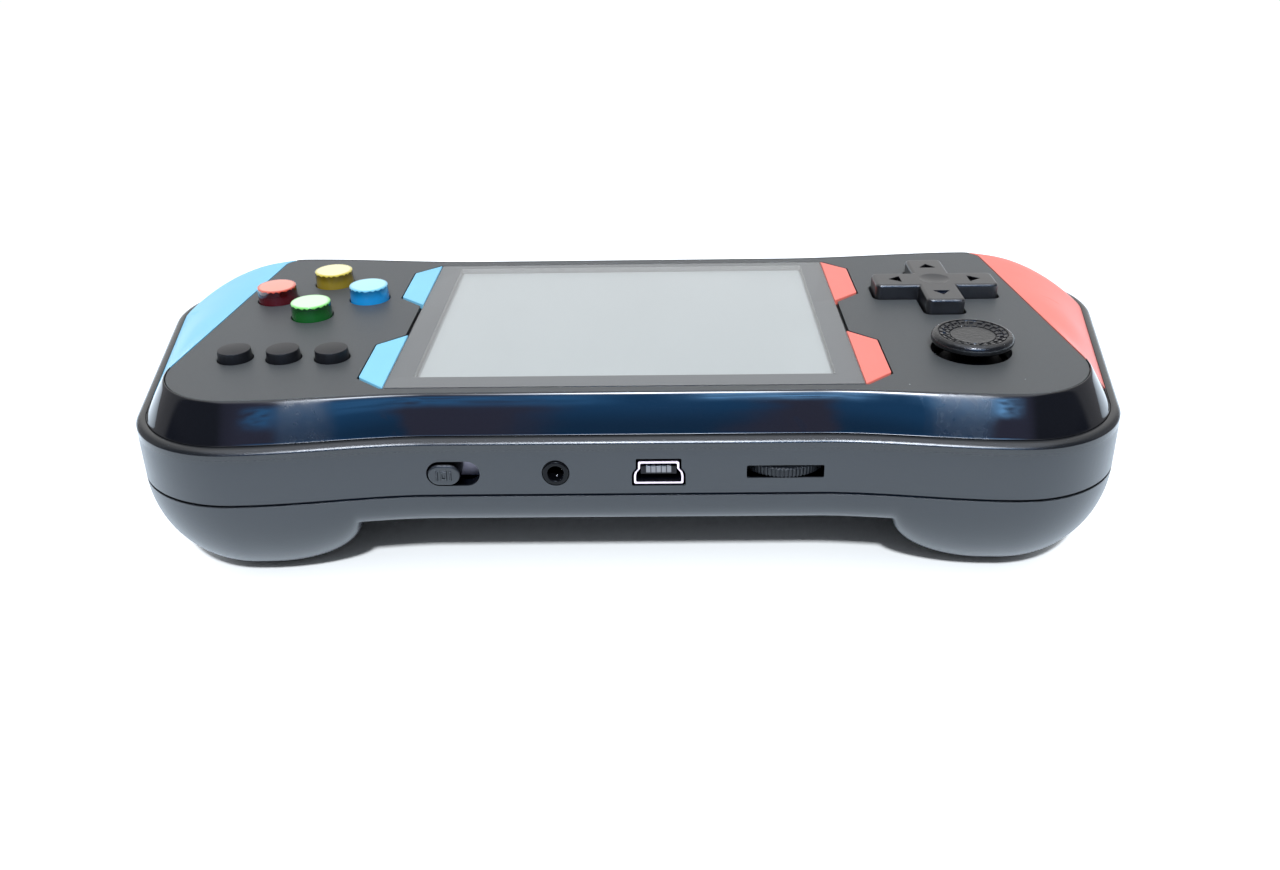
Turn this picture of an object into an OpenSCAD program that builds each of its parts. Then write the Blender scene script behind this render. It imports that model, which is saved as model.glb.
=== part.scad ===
// Handheld game console: moulded two-part case with grips, colour end caps, lit screen, moving controls.
// X runs along the width, -Y is the edge with the sockets, Z is up; the grips rest on Z = 0.

/* [Body] */
// Overall width, across the far corners
body_w = 176.6; // [165:0.1:190]
// Overall depth, from the bulges of the socket face to the far edge
body_d = 80.4; // [76:0.1:90]
// Height of the face plate's top above the surface that the grips rest on
body_h = 32; // [29:0.1:36]
// Plan radius of the corners beside the socket face
near_r = 18.9; // [17.5:0.1:22]
// Plan radius of the far corners
far_r = 20; // [17.5:0.1:24]
// How much narrower each side is at the socket face
flare = 8.6; // [5:0.1:12]
// Set-back of the middle of the socket face
near_dip = 3; // [1:0.1:5]
// Set-back of the middle of the far edge
far_dip = 2.9; // [1:0.1:5]
// Half width of the straight middle of both long edges
flat_half = 30; // [22:0.5:34]
// Wall of the front and rear shells
wall = 2.2; // [1.6:0.1:2.8]
// Bottom of the gutter at the parting line, measured in from the walls
parting_groove = 0.35; // [0.1:0.05:0.6]

/* [Levels] */
// Rim's top below the face plate
rim_drop = 6; // [5:0.1:8]
// Parting line below the face plate
parting_drop = 15.2; // [14.8:0.1:17]
// Flat belly below the face plate
belly_drop = 20.9; // [20.3:0.1:23]
// Depth of the seat that holds the sloped trim in the rim
seat_depth = 0.85; // [0.4:0.05:1.4]
// Thickness of the deck that carries the sloped trim
deck_t = 1.2; // [0.8:0.1:2]
// Width of the deck and rim together, from the outside
deck_w = 7; // [6:0.1:9]

/* [Face] */
// Face plate thickness
plate_t = 2; // [1.6:0.1:2.6]
// Plan radius of the face plate's near corners
plate_near_r = 13; // [10:0.1:15]
// Plan radius of the face plate's far corners
plate_far_r = 3.2; // [3:0.1:8]
// Distance from the socket face's bulges to the face plate
band_front = 6.4; // [5.5:0.1:8]
// Distance from the side to the face plate at the near corners
band_side = 4.6; // [3.8:0.1:6]
// Distance from the far edge to the face plate's corners
band_far = 5.8; // [5.5:0.1:8]
// Distance from the side to the face plate at the far corners
cap_w = 18.4; // [14:0.1:22]
// Set-back of the middle of the face plate's near edge
plate_near_dip = 2.3; // [1:0.1:4]
// Set-back of the middle of the face plate's far edge
plate_far_dip = 2.7; // [1:0.1:4]
// Width of the rim's visible top
rim_w = 2.7; // [2.2:0.1:3.2]
// How much narrower that top is at the sides
rim_side = 1; // [0:0.1:1.2]
// Flange of the sloped trim that the face plate rests on
flange_w = 1.8; // [1:0.1:2]
// Thickness of that flange
flange_t = 2; // [1:0.1:2.4]
// Y of the joint between gloss band and end cap, where it leaves the face plate
split_in_y = -16.8; // [-20:0.1:-10]
// Y of that joint at the rim
split_out_y = -21.2; // [-25:0.1:-14]
// Gap between neighbouring trim pieces
trim_gap = 0.15; // [0.05:0.05:0.4]

/* [Screen] */
// Gap between the display tray and the trim's flange at the far edge
screen_gap = 0.4; // [0.3:0.05:0.8]
// Face plate left between its near edge and the lens
lens_margin = 1.9; // [1:0.1:3]
// Picture's width for each unit of its depth
aspect = 1.3333; // [1.2:0.0001:1.4]
// Window beyond the picture at the sides
window_side = 1.25; // [0.8:0.05:2]
// Window beyond the picture at the near and far edges
window_end = 0.95; // [0.6:0.05:1.4]
// Lens beyond the picture at the sides
lens_side = 5.2; // [4.4:0.1:6]
// Lens beyond the picture at its near edge
lens_near_edge = 8; // [7:0.1:9]
// Lens beyond the picture at its far edge
lens_far_edge = 2.1; // [2:0.1:2.6]
// Lens and colour ear thickness
lens_t = 1.2; // [1:0.05:1.5]
// How far the lens and ears stand above the face plate
lens_proud = 0.3; // [0.1:0.05:0.5]
// Gap round the lens and ears in their pocket
lens_gap = 0.15; // [0.05:0.05:0.3]
// Width of the colour ears
ear_w = 4.6; // [3:0.1:5]
// Length of the ears along the lens
ear_l = 22; // [18:0.1:24]
// How much each end of an ear is cut back at its outer edge
ear_cut = 4.3; // [2:0.1:6]
// Display module beyond the picture at the sides
lcd_side = 3.6; // [3:0.1:4.6]
// Display module beyond the picture at the near and far edges
lcd_end = 1.9; // [1.4:0.1:2.2]
// Display module thickness
lcd_t = 2.4; // [1.8:0.1:3]
// Height of the polariser over the picture
view_t = 0.2; // [0.1:0.05:0.4]
// Sheet thickness of the display tray
tray_t = 0.6; // [0.4:0.1:0.8]

/* [Board] */
// Circuit board thickness
board_t = 1.2; // [1:0.1:1.6]
// Gap between the board and the shell's walls
board_gap = 1; // [0.4:0.1:2]
// Distance from the side to the board's end
board_in = 14.3; // [12:0.1:17]

/* [Controls] */
// Place of the colour buttons across the room between the ears and the face plate's far corner
action_place = 0.534; // [0.5:0.001:0.57]
// Place of the middle key across that room
key_place = 0.523; // [0.5:0.001:0.56]
// Place of the cross pad across that room
pad_place = 0.513; // [0.49:0.001:0.53]
// Place of the stick across that room
stick_place = 0.534; // [0.5:0.001:0.57]
// Distance from the far edge to the middle of the colour buttons
action_back = 29; // [28:0.1:30]
// Distance from the far edge to the cross pad's centre
pad_back = 28.8; // [28.6:0.1:30]
// Distance of each colour button from the group's centre, as a share of the room
action_spread = 0.31; // [0.29:0.001:0.33]
// Colour button diameter at the top, as a share of the room
action_share = 0.235; // [0.21:0.001:0.25]
// Height of the colour buttons above the face plate
action_h = 2.8; // [2:0.1:3.4]
// Distance from the socket face's bulges to the row of small keys
key_front = 23.3; // [22:0.1:24]
// Spacing of the three small keys, as a share of the room
key_spread = 0.292; // [0.28:0.001:0.31]
// Small key diameter at the top, as a share of the room
key_share = 0.177; // [0.15:0.001:0.185]
// Height of the small keys above the face plate
key_h = 1.8; // [1.2:0.1:2.4]
// Widening of a button from its top to the face plate
draft = 0.35; // [0.2:0.05:0.45]
// Gap between a button and its hole
button_gap = 0.3; // [0.15:0.05:0.4]
// Width of the collar that keeps a button in
collar_w = 0.9; // [0.6:0.1:1.1]
// Thickness of the collar
collar_t = 1; // [0.6:0.1:1.4]
// Gap between the collar and the face plate at rest
collar_gap = 0.3; // [0.2:0.05:0.5]
// Travel of a button
press = 1; // [0.6:0.1:1.2]
// Gap left under a button at full travel
press_gap = 0.3; // [0.2:0.05:0.4]
// Rubber membrane sheet thickness
rubber_t = 0.8; // [0.5:0.1:1.2]
// Height of the rubber domes on the membrane
dome_h = 1.5; // [1:0.1:1.8]

/* [Cross pad] */
// Length of the cross pad from end to end, as a share of the room
pad_share = 0.805; // [0.75:0.001:0.82]
// Width of its arms, as a share of that length
pad_arm_share = 0.305; // [0.28:0.001:0.34]
// Height above the face plate
pad_h = 2.6; // [2:0.1:3.6]
// Corner radius of the arms
pad_r = 1; // [0.5:0.1:1.6]
// Radius of the round dish in its middle
dish_r = 13.2; // [10:0.1:18]
// Depth of that dish
dish_depth = 0.6; // [0.3:0.05:0.8]
// Width of the engraved arrows
arrow_w = 2.4; // [1.6:0.1:3]
// Length of the engraved arrows
arrow_l = 1.6; // [1:0.1:2]
// Radius of the pad's four plungers
pad_foot_r = 1.6; // [1.2:0.1:1.8]
// Length of the pad's four plungers
pad_foot_h = 1; // [0.8:0.1:1.1]
// Gap between the pad and its hole
pad_gap = 0.45; // [0.35:0.05:0.7]
// Drop of the pad's collar below the face plate, room for the rocking
pad_drop = 1; // [0.95:0.05:1.3]
// Radius of the pivot's ball
pivot_r = 2.4; // [2:0.1:2.6]
// Running clearance of the ball in the pad
ball_gap = 0.08; // [0.02:0.01:0.1]
// Radius of the pivot's foot
foot_r = 1.6; // [1.2:0.1:1.7]
// Gap under the pivot's foot
pivot_gap = 0.35; // [0.3:0.05:0.4]
// Sideways swing that the membrane leaves round the pivot's foot
foot_gap = 0.6; // [0.5:0.05:0.9]

/* [Stick] */
// Distance from the socket face's bulges to the stick's centre
stick_front = 24.1; // [23:0.1:25]
// Stick cap diameter
stick_d = 13.4; // [13:0.1:14]
// Height of the cap's top above the face plate
stick_h = 3.1; // [2.9:0.1:4]
// Gap under the cap, room for the tilt
stick_gap = 1.1; // [1:0.1:1.4]
// Hole in the face plate
stick_hole_d = 12.6; // [12:0.1:13]
// Height of the tilt axes above the board
gimbal_h = 2.2; // [2:0.1:2.4]
// Radius of the gimbal pins
pin_r = 0.45; // [0.35:0.05:0.5]
// Radial clearance of the gimbal pins
pin_gap = 0.05; // [0.02:0.01:0.1]

/* [Sockets] */
// X of the power switch
switch_x = -26.4; // [-27.4:0.1:-24]
// Length of the switch slot
slot_l = 8.3; // [7.6:0.1:9]
// Height of the switch slot
slot_h = 4.1; // [3.5:0.1:4.4]
// Length of the switch knob
knob_l = 5.3; // [4.6:0.1:5.6]
// Gap between the knob and its slot
knob_gap = 0.15; // [0.1:0.05:0.25]
// How far the knob stands out of the socket face
knob_out = 0.6; // [0.3:0.1:1]
// X of the audio and video jack
jack_x = -10.5; // [-12:0.1:-9]
// Jack bore, for a 2.5 mm plug
jack_bore_d = 2.6; // [2.55:0.01:2.7]
// Jack collar diameter
jack_d = 4.1; // [3.6:0.1:4.2]
// Length of the jack's bore
jack_l = 11; // [9:0.5:13]
// X of the mini USB socket
usb_x = 5.4; // [4:0.1:7]
// Mini USB shell width
usb_w = 7.7; // [7.6:0.05:7.8]
// Mini USB shell height
usb_h = 3.9; // [3.8:0.05:4]
// Mini USB shell depth
usb_l = 9.2; // [8:0.1:10]
// Sheet thickness of the USB shell
usb_t = 0.35; // [0.3:0.05:0.4]
// Contact pitch of the USB socket
usb_pitch = 0.8; // [0.8:0.01:0.82]
// X of the volume wheel
wheel_x = 24.9; // [24:0.1:26]
// Volume wheel diameter
wheel_d = 14; // [13:0.1:14.4]
// Volume wheel thickness
wheel_t = 1.5; // [1.2:0.1:1.6]
// How far the wheel stands out of the socket face
wheel_out = 0.6; // [0.3:0.1:0.8]
// Number of ribs on the wheel
wheel_ribs = 72; // [48:4:80]
// Length of the wheel's slot
wheel_slot_l = 11.9; // [11.6:0.1:13]
// Height of the wheel's slot
wheel_slot_h = 2.1; // [1.9:0.1:2.4]
// Axle radius of the wheel
axle_r = 1.5; // [1.2:0.1:2]
// Radial clearance of the wheel on its axle
axle_gap = 0.05; // [0.02:0.01:0.1]
// Gap between the potentiometer and the shell's wall
pot_gap = 0.4; // [0.3:0.1:1]
// Gap above and below the wheel
wheel_gap = 0.3; // [0.2:0.05:0.4]
// Gap between a socket and its hole in the shell
port_gap = 0.1; // [0.05:0.05:0.2]

/* [Grips] */
// Lowest line of a grip, from the middle
grip_x = 57.5; // [55:0.5:60]
// Width of the grip's inner flank
grip_flank = 15; // [13:0.5:17]
// How far the inner flank's round runs up past the belly
grip_rise = 1.4; // [0.4:0.1:2.9]
// Softness of the crease where the flank meets the belly
grip_blend = 2; // [1:0.5:4]
// Y where the grip starts to fade away
grip_fade_y = 12; // [6:0.5:14]
// Length over which it fades
grip_fade = 22; // [16:0.5:26]
// Plan width of the rounding under the grips
grip_round = 15; // [12:0.5:16]
// Plan width of the rounding under the belly
belly_round = 4; // [3:0.5:6]

/* [Inside] */
// Screw boss radius
boss_r = 2.6; // [2.4:0.1:2.8]
// Screw thread radius
screw_r = 0.95; // [0.8:0.05:1.1]
// Clearance round the screw
screw_gap = 0.1; // [0.05:0.05:0.2]
// Screw head radius
head_r = 1.9; // [1.7:0.05:1.9]
// Screw head height
head_h = 1.4; // [1:0.1:1.8]
// Screw length under the head
screw_l = 9; // [8:0.5:10]
// Height of the joint between front and rear bosses above the parting line
boss_joint = 1; // [0.5:0.1:2]
// Gap round the bosses in the board
boss_gap = 0.4; // [0.3:0.1:0.8]
// Gap between the display tray and the bosses beside it
screw_in_gap = 1.8; // [1.6:0.1:2.2]
// Y of the screws beside the screen
screw_in_y = -10; // [-11:0.5:-8]
// Distance from the side to the screws at the sides
screw_side_in = 21.3; // [20.8:0.1:22.3]
// Y of the screws at the sides
screw_side_y = -3.5; // [-4.5:0.5:-2.5]
// Distance from the side to the screws at the far edge
screw_far_in = 30.3; // [28.3:0.1:34.3]
// Distance from the far edge to those screws
screw_far_back = 12.2; // [11.7:0.1:13.2]
// Battery length
battery_l = 53; // [40:1:54]
// Battery width
battery_w = 34; // [28:1:35]
// Battery thickness
battery_t = 5.6; // [4:0.1:6]
// Y of the battery's centre
battery_y = -2.5; // [-4:0.5:-2]
// Speaker diameter
speaker_d = 16; // [14:0.5:16.5]
// Speaker thickness
speaker_t = 3.8; // [3:0.1:4.4]
// X of the speaker
speaker_x = 33; // [32.5:0.5:35]
// Y of the speaker
speaker_y = 22; // [21.5:0.5:22.5]
// Number of sound slots
sound_slots = 5; // [3:2:7]
// Width of a sound slot
sound_slot_w = 1.2; // [0.8:0.1:1.6]

/* [Hidden] */
$fn = 48;
cut = 0.5;

// Segments of the plan outline: half an S-curve, a corner and a side
edge_n = 10;
arc_n = 8;
side_n = 4;

z_part = body_h - parting_drop;
z_rim = body_h - rim_drop;
z_seat = z_rim - seat_depth;
z_deck = z_seat - deck_t;
z_board = z_deck - board_t;
z_port = z_board - usb_h / 2;
z_plate = body_h - plate_t;
z_belly = body_h - belly_drop;
z_joint = z_part + boss_joint;
z_lens = body_h + lens_proud - lens_t;
z_lcd = z_plate - lcd_t;
y_face = near_dip - body_d / 2;
grip_flank_h = z_belly + grip_rise;

// Screen: the picture fills the face plate's depth less the edges round it
plate_d = body_d - band_front - plate_near_dip - band_far - plate_far_dip;
view_d = plate_d - flange_w - screen_gap - tray_t - lcd_end - lens_near_edge - lens_margin;
view_w = aspect * view_d;
window_w = view_w + 2 * window_side;
window_d = view_d + 2 * window_end;
lcd_w = view_w + 2 * lcd_side;
lcd_d = view_d + 2 * lcd_end;
lens_w = view_w + 2 * lens_side;
lens_near = view_d / 2 + lens_near_edge;
lens_far = view_d / 2 + lens_far_edge;
lcd_y = body_d / 2 - band_far - plate_far_dip - flange_w - screen_gap - tray_t - lcd_d / 2;

// Controls: shares of the room between the ears and the face plate's far corners
ear_x = lens_w / 2 + ear_w;
room = body_w / 2 - cap_w - ear_x;
action_x = ear_x + action_place * room;
key_x = ear_x + key_place * room;
pad_x = ear_x + pad_place * room;
stick_x = ear_x + stick_place * room;
control_y = body_d / 2 - action_back;
pad_y = body_d / 2 - pad_back;
key_y = key_front - body_d / 2;
stick_y = stick_front - body_d / 2;
action_r = action_spread * room;
action_d = action_share * room;
key_pitch = key_spread * room;
key_d = key_share * room;
pad_l = pad_share * room;
pad_w = pad_arm_share * pad_l;

// Board and screws
board_half = body_w / 2 - board_in;
screw_in_x = lcd_w / 2 + tray_t + boss_r + screw_in_gap;
screw_side_x = body_w / 2 - screw_side_in;
screw_far_x = body_w / 2 - screw_far_in;
screw_far_y = body_d / 2 - screw_far_back;

// Corner centres of the body and of the face plate, right side
near_c = [body_w / 2 - flare - near_r, near_r - body_d / 2];
far_c = [body_w / 2 - far_r, body_d / 2 - far_r];
plate_near_c = [body_w / 2 - flare - band_side - plate_near_r, band_front + plate_near_r - body_d / 2];
plate_far_c = [body_w / 2 - cap_w - plate_far_r, body_d / 2 - band_far - plate_far_r];

function smooth(t) = t <= 0 ? 0 : t >= 1 ? 1 : t * t * (3 - 2 * t);
function dir(a) = [cos(a), sin(a)];
function mix(a, b, t) = a + (b - a) * t;

// Right half of a plan outline: S-curved near edge, corner, straight side, corner, S-curved far edge
function half_outline(nc, nr, fc, fr, n_dip, f_dip) =
    let (a = atan2(fc.y - nc.y, fc.x - nc.x) - acos((nr - fr) / norm(fc - nc)))
    concat(
        [for (i = [0:edge_n - 1]) let (t = i / edge_n)
            [mix(flat_half, nc.x, t), nc.y - nr + n_dip * (1 - smooth(t))]],
        [for (i = [0:arc_n]) nc + nr * dir(mix(-90, a, i / arc_n))],
        [for (i = [1:side_n - 1]) mix(nc + nr * dir(a), fc + fr * dir(a), i / side_n)],
        [for (i = [0:arc_n]) fc + fr * dir(mix(a, 90, i / arc_n))],
        [for (i = [1:edge_n]) let (t = 1 - i / edge_n)
            [mix(flat_half, fc.x, t), fc.y + fr - f_dip * (1 - smooth(t))]]);
function whole(h) = concat(h, [for (i = [len(h) - 1:-1:0]) [-h[i].x, h[i].y]]);
function rim(d) = whole(half_outline(near_c, near_r - d, far_c, far_r - d, near_dip, far_dip));
function trim_edge(d) = whole(half_outline(near_c + [rim_side, 0], near_r - rim_w - d,
                                           far_c + [rim_side, 0], far_r - rim_w - d, near_dip, far_dip));
function plate(d) = whole(half_outline(plate_near_c, plate_near_r - d, plate_far_c, plate_far_r - d,
                                       plate_near_dip, plate_far_dip));
function at(outline, z) = [for (p = outline) [p.x, p.y, z]];

// Triangles between two neighbouring rings of m points
function band_faces(m, r, s) = [for (j = [0:m - 1]) let (k = (j + 1) % m) each
    [[r + j, s + j, s + k], [r + j, s + k, r + k]]];

// Solid of revolution-like rings that close on themselves round the plan outline
module trim_ring(rings) {
    m = len(rings[0]);
    n = len(rings);
    polyhedron(points = [for (r = rings) each r],
               faces = [for (i = [0:n - 1]) each band_faces(m, i * m, ((i + 1) % n) * m)]);
}

// Stadium or rounded box outline centred on the origin
module pill(l, h) {
    translate([-(l - h) / 2, 0]) circle(d = h);
    translate([(l - h) / 2, 0]) circle(d = h);
    square([l - h, h], center = true);
}
module round_rect(w, d, r) {
    square([w - 2 * r, d], center = true);
    square([w, d - 2 * r], center = true);
    for (x = [-1, 1], y = [-1, 1]) translate([x * (w / 2 - r), y * (d / 2 - r)]) circle(r);
}

// Extrusion along Y into the case from the socket face, outline in X and Z
module into_case(x, z, from, depth) {
    translate([x, y_face + from + depth, z]) rotate([90, 0, 0]) linear_extrude(depth) children();
}

screw_spots = [for (s = [-1, 1]) each [[s * screw_in_x, screw_in_y], [s * screw_side_x, screw_side_y],
                                       [s * screw_far_x, screw_far_y]]];

// Sloped trim between face plate and rim, cut into two gloss bands and two colour ends.
// Each step: share of the run, share of the drop on a narrow band, share of the drop on a wide end
slope = [[0.12, 0.06, 0.015], [0.3, 0.22, 0.07], [0.6, 0.56, 0.27], [0.85, 0.84, 0.6], [1, 1, 1]];
trim_drop = rim_drop - 0.3;
function crown(p, q) = smooth((norm(q - p) - band_far) / (cap_w - band_far - rim_w));
function slope_ring(a, b, s) = [for (i = [0:len(a) - 1]) let (p = mix(a[i], b[i], s[0]))
    [p.x, p.y, body_h - trim_drop * mix(s[1], s[2], crown(a[i], b[i]))]];

module sloped_trim() {
    inner = plate(0);
    outer = trim_edge(0);
    trim_ring(concat(
        [at(inner, body_h)],
        [for (s = slope) slope_ring(inner, outer, s)],
        [at(outer, z_seat), at(trim_edge(wall), z_seat),
         at(plate(flange_w), z_plate - flange_t), at(plate(flange_w), z_plate), at(inner, z_plate)]));
}
module end_zone(g) {
    x_in = plate_near_c.x + plate_near_r - 0.5;
    x_out = body_w / 2 - flare;
    k = (split_out_y - split_in_y) / (x_out - x_in);
    far_in = plate_far_c - [0, 0.5];
    far_out = far_in + (body_d / 2) * dir(62);
    translate([0, 0, -cut]) linear_extrude(body_h + 2 * cut)
        polygon([[x_in - 12, split_in_y - 12 * k - g], [x_out + 12, split_out_y + 12 * k - g],
                 [body_w, split_out_y], [body_w, far_out.y], far_out + [-g, g], far_in + [-g, g]]);
}
module end_cap() {
    intersection() {
        sloped_trim();
        end_zone(-trim_gap / 2);
    }
}
module gloss_bands() {
    difference() {
        sloped_trim();
        end_zone(trim_gap / 2);
        mirror([1, 0, 0]) end_zone(trim_gap / 2);
    }
}

module face_plate() {
    color("#2b2c2e") difference() {
        union() {
            translate([0, 0, z_plate]) linear_extrude(plate_t) polygon(plate(trim_gap));
            for (p = screw_spots) translate([p.x, p.y, z_joint])
                cylinder(r = boss_r, h = z_plate - z_joint + cut);
        }
        translate([0, lcd_y, z_plate - cut]) linear_extrude(plate_t + 2 * cut)
            square([window_w, window_d], center = true);
        translate([0, 0, z_lens]) linear_extrude(lens_t + cut) lens_pocket();
        for (p = action_spots) translate([p.x, p.y, z_plate - cut])
            cylinder(r = action_d / 2 + draft + button_gap, h = plate_t + 2 * cut);
        for (p = key_spots) translate([p.x, p.y, z_plate - cut])
            cylinder(r = key_d / 2 + draft + button_gap, h = plate_t + 2 * cut);
        translate([pad_x, pad_y, z_plate - cut]) linear_extrude(plate_t + 2 * cut)
            cross(pad_l + 2 * pad_gap, pad_w + 2 * pad_gap, pad_r + pad_gap);
        translate([stick_x, stick_y, z_plate - cut]) cylinder(d = stick_hole_d, h = plate_t + 2 * cut);
        for (p = screw_spots) translate([p.x, p.y, z_joint - cut])
            cylinder(r = screw_r + screw_gap, h = screw_l - head_h + 2 * cut);
    }
}
module bezel_near() {
    color("#101114") intersection() {
        gloss_bands();
        translate([-body_w, -body_d, 0]) cube([2 * body_w, body_d, body_h + cut]);
    }
}
module bezel_far() {
    color("#101114") intersection() {
        gloss_bands();
        translate([-body_w, 0, 0]) cube([2 * body_w, body_d, body_h + cut]);
    }
}
module end_cap_blue() {
    color("#6cc3ee") mirror([1, 0, 0]) end_cap();
}
module end_cap_red() {
    color("#e8584f") end_cap();
}

// Matte rim: outer wall with a rounded top, the seat and deck for the trim, and the socket openings
module front_shell() {
    color("#2e2f32") difference() {
        trim_ring([at(rim(parting_groove), z_part), at(rim(0), z_part + parting_groove),
                   at(rim(0), z_rim - 1.9), at(rim(0.2), z_rim - 0.9), at(rim(0.65), z_rim - 0.25),
                   at(rim(1.2), z_rim), at(trim_edge(-trim_gap), z_rim - 0.05),
                   at(trim_edge(-trim_gap), z_seat), at(rim(deck_w), z_seat), at(rim(deck_w), z_deck),
                   at(rim(wall), z_deck), at(rim(wall), z_part)]);
        into_case(switch_x, z_port, -near_dip - cut, near_dip + wall + 2 * cut) pill(slot_l, slot_h);
        into_case(jack_x, z_port, -near_dip - cut, near_dip + wall + 2 * cut)
            circle(d = jack_d + 2 * port_gap);
        into_case(usb_x, z_port, -near_dip - cut, near_dip + wall + 2 * cut) usb_outline(port_gap);
        into_case(wheel_x, z_port, -near_dip - cut, near_dip + wall + 2 * cut)
            square([wheel_slot_l, wheel_slot_h], center = true);
    }
}

// Depth of the rear shell below the parting line, and the plan width of its edge rounding
belly_depth = z_part - z_belly;
function quarter(t) = t <= 0 ? 1 : t >= 1 ? 0 : sqrt(1 - t * t);
function soft_max(a, b, k) = let (h = max(k - abs(a - b), 0) / k) max(a, b) + h * h * k / 4;
function grip(x, y) = quarter((grip_x - abs(x)) / grip_flank)
    * smooth((grip_fade_y + grip_fade - y) / grip_fade);
function depth(x, y) = soft_max(belly_depth, z_part - grip_flank_h * (1 - grip(x, y)), grip_blend);
function rounding(x, y) = mix(belly_round, grip_round, (depth(x, y) - belly_depth) / (z_part - belly_depth));
function fall(e) = e >= 1 ? 1 : sqrt(1 - (1 - e) * (1 - e));
function shell_z(p, e, t) = z_part - (depth(p.x, p.y) - t) * fall(e / rounding(p.x, p.y));

// One skin of the rear shell: rings that follow the edge, then a blended patch over the rest
insets = [0, 0.25, 0.9, 2.2, 4.2, 6.8, 10, 13, 16];
last_inset = insets[len(insets) - 1];
half_n = 2 * edge_n + 2 * (arc_n + 1) + side_n - 1;
ring_n = 2 * half_n;
u_n = 2 * (edge_n + arc_n / 2) + 1;
v_n = side_n + arc_n;
near_k = edge_n + arc_n / 2;
far_k = half_n - 1 - near_k;
function right(i) = i;
function left(i) = ring_n - 1 - i;
function near_i(u) = u <= near_k ? left(near_k - u) : right(u - near_k - 1);
function far_i(u) = u <= near_k ? left(far_k + u) : right(half_n - 1 - (u - near_k - 1));

function skin_rings(t) = [for (d = insets) let (e = d * (last_inset - t) / last_inset)
    [for (p = rim(e + (t > 0 ? t : 0))) [p.x, p.y, shell_z(p, e, t)]]];
function patch(ring, t) = [for (v = [1:v_n - 1]) for (u = [1:u_n - 1])
    let (n0 = ring[near_i(0)], n1 = ring[near_i(u_n)], f0 = ring[far_i(0)], f1 = ring[far_i(u_n)],
         n = ring[near_i(u)], f = ring[far_i(u)], l = ring[left(near_k + v)], r = ring[right(near_k + v)],
         a = (n.x - n0.x) / (n1.x - n0.x), b = (r.y - n1.y) / (f1.y - n1.y),
         p = mix(n, f, b) + mix(l, r, a) - mix(mix(n0, n1, a), mix(f0, f1, a), b))
    [p.x, p.y, z_part - depth(p.x, p.y) + t]];
function patch_i(u, v, ring0, in0) =
    v == 0 ? ring0 + near_i(u) : v == v_n ? ring0 + far_i(u) :
    u == 0 ? ring0 + left(near_k + v) : u == u_n ? ring0 + right(near_k + v) :
    in0 + (v - 1) * (u_n - 1) + u - 1;
function patch_faces(ring0, in0, up) = [for (v = [0:v_n - 1]) for (u = [0:u_n - 1])
    let (a = patch_i(u, v, ring0, in0), b = patch_i(u + 1, v, ring0, in0),
         c = patch_i(u + 1, v + 1, ring0, in0), d = patch_i(u, v + 1, ring0, in0))
    each up ? [[a, c, b], [a, d, c]] : [[a, b, c], [a, c, d]]];

module tub() {
    out = skin_rings(0);
    in = skin_rings(wall);
    n = len(insets);
    last_out = (n - 1) * ring_n;
    in_0 = n * ring_n;
    last_in = in_0 + last_out;
    patch_0 = in_0 + n * ring_n;
    patch_n = (u_n - 1) * (v_n - 1);
    polyhedron(
        points = concat([for (r = out) each r], [for (r = in) each r],
                        patch(out[n - 1], 0), patch(in[n - 1], wall)),
        faces = concat(
            [for (i = [0:n - 2]) each band_faces(ring_n, (i + 1) * ring_n, i * ring_n)],
            [for (i = [0:n - 2]) each band_faces(ring_n, in_0 + i * ring_n, in_0 + (i + 1) * ring_n)],
            band_faces(ring_n, 0, in_0),
            patch_faces(last_out, patch_0, false),
            patch_faces(last_in, patch_0 + patch_n, true)));
}
function floor_z(p) = z_part - depth(p.x, p.y);

module rear_shell() {
    color("#2e2f32") difference() {
        union() {
            tub();
            for (p = screw_spots) translate([p.x, p.y, floor_z(p) + wall / 2])
                cylinder(r = boss_r, h = z_joint - floor_z(p) - wall / 2);
        }
        for (p = screw_spots) {
            translate([p.x, p.y, -cut]) cylinder(r = screw_r + screw_gap, h = body_h);
            translate([p.x, p.y, -cut]) cylinder(r = head_r + screw_gap, h = z_joint - head_h + cut);
        }
        for (i = [0:sound_slots - 1]) let (y = (i - (sound_slots - 1) / 2) * 2 * sound_slot_w)
            translate([speaker_x, speaker_y + y, z_belly - cut]) linear_extrude(wall + 2 * cut)
                pill(2 * sqrt(pow(speaker_d / 2 - 2, 2) - y * y), sound_slot_w);
    }
}

// Screen: lens with a colour ear at each corner, display module in its tray
module ear(y0) {
    polygon([[lens_w / 2, y0], [lens_w / 2 + ear_w, y0 + ear_cut],
             [lens_w / 2 + ear_w, y0 + ear_l - ear_cut], [lens_w / 2, y0 + ear_l]]);
}
module ears() {
    ear(lcd_y - lens_near);
    ear(lcd_y + lens_far - ear_l);
}
module lens_outline() {
    translate([-lens_w / 2, lcd_y - lens_near]) square([lens_w, lens_near + lens_far]);
}
module lens_pocket() {
    translate([-lens_w / 2 - lens_gap, lcd_y - lens_near - lens_gap])
        square([lens_w + 2 * lens_gap, lens_near + lens_far + 2 * lens_gap]);
    for (s = [0, 1]) mirror([s, 0]) for (dx = [0, lens_gap], dy = [-lens_gap, lens_gap])
        translate([dx, dy]) ears();
}
module screen_lens() {
    color("#8f969c", 0.4) translate([0, 0, z_lens]) linear_extrude(lens_t) lens_outline();
}
module ears_red() {
    color("#e8584f") translate([0, 0, z_lens]) linear_extrude(lens_t) ears();
}
module ears_blue() {
    color("#6cc3ee") mirror([1, 0, 0]) translate([0, 0, z_lens]) linear_extrude(lens_t) ears();
}
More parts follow.
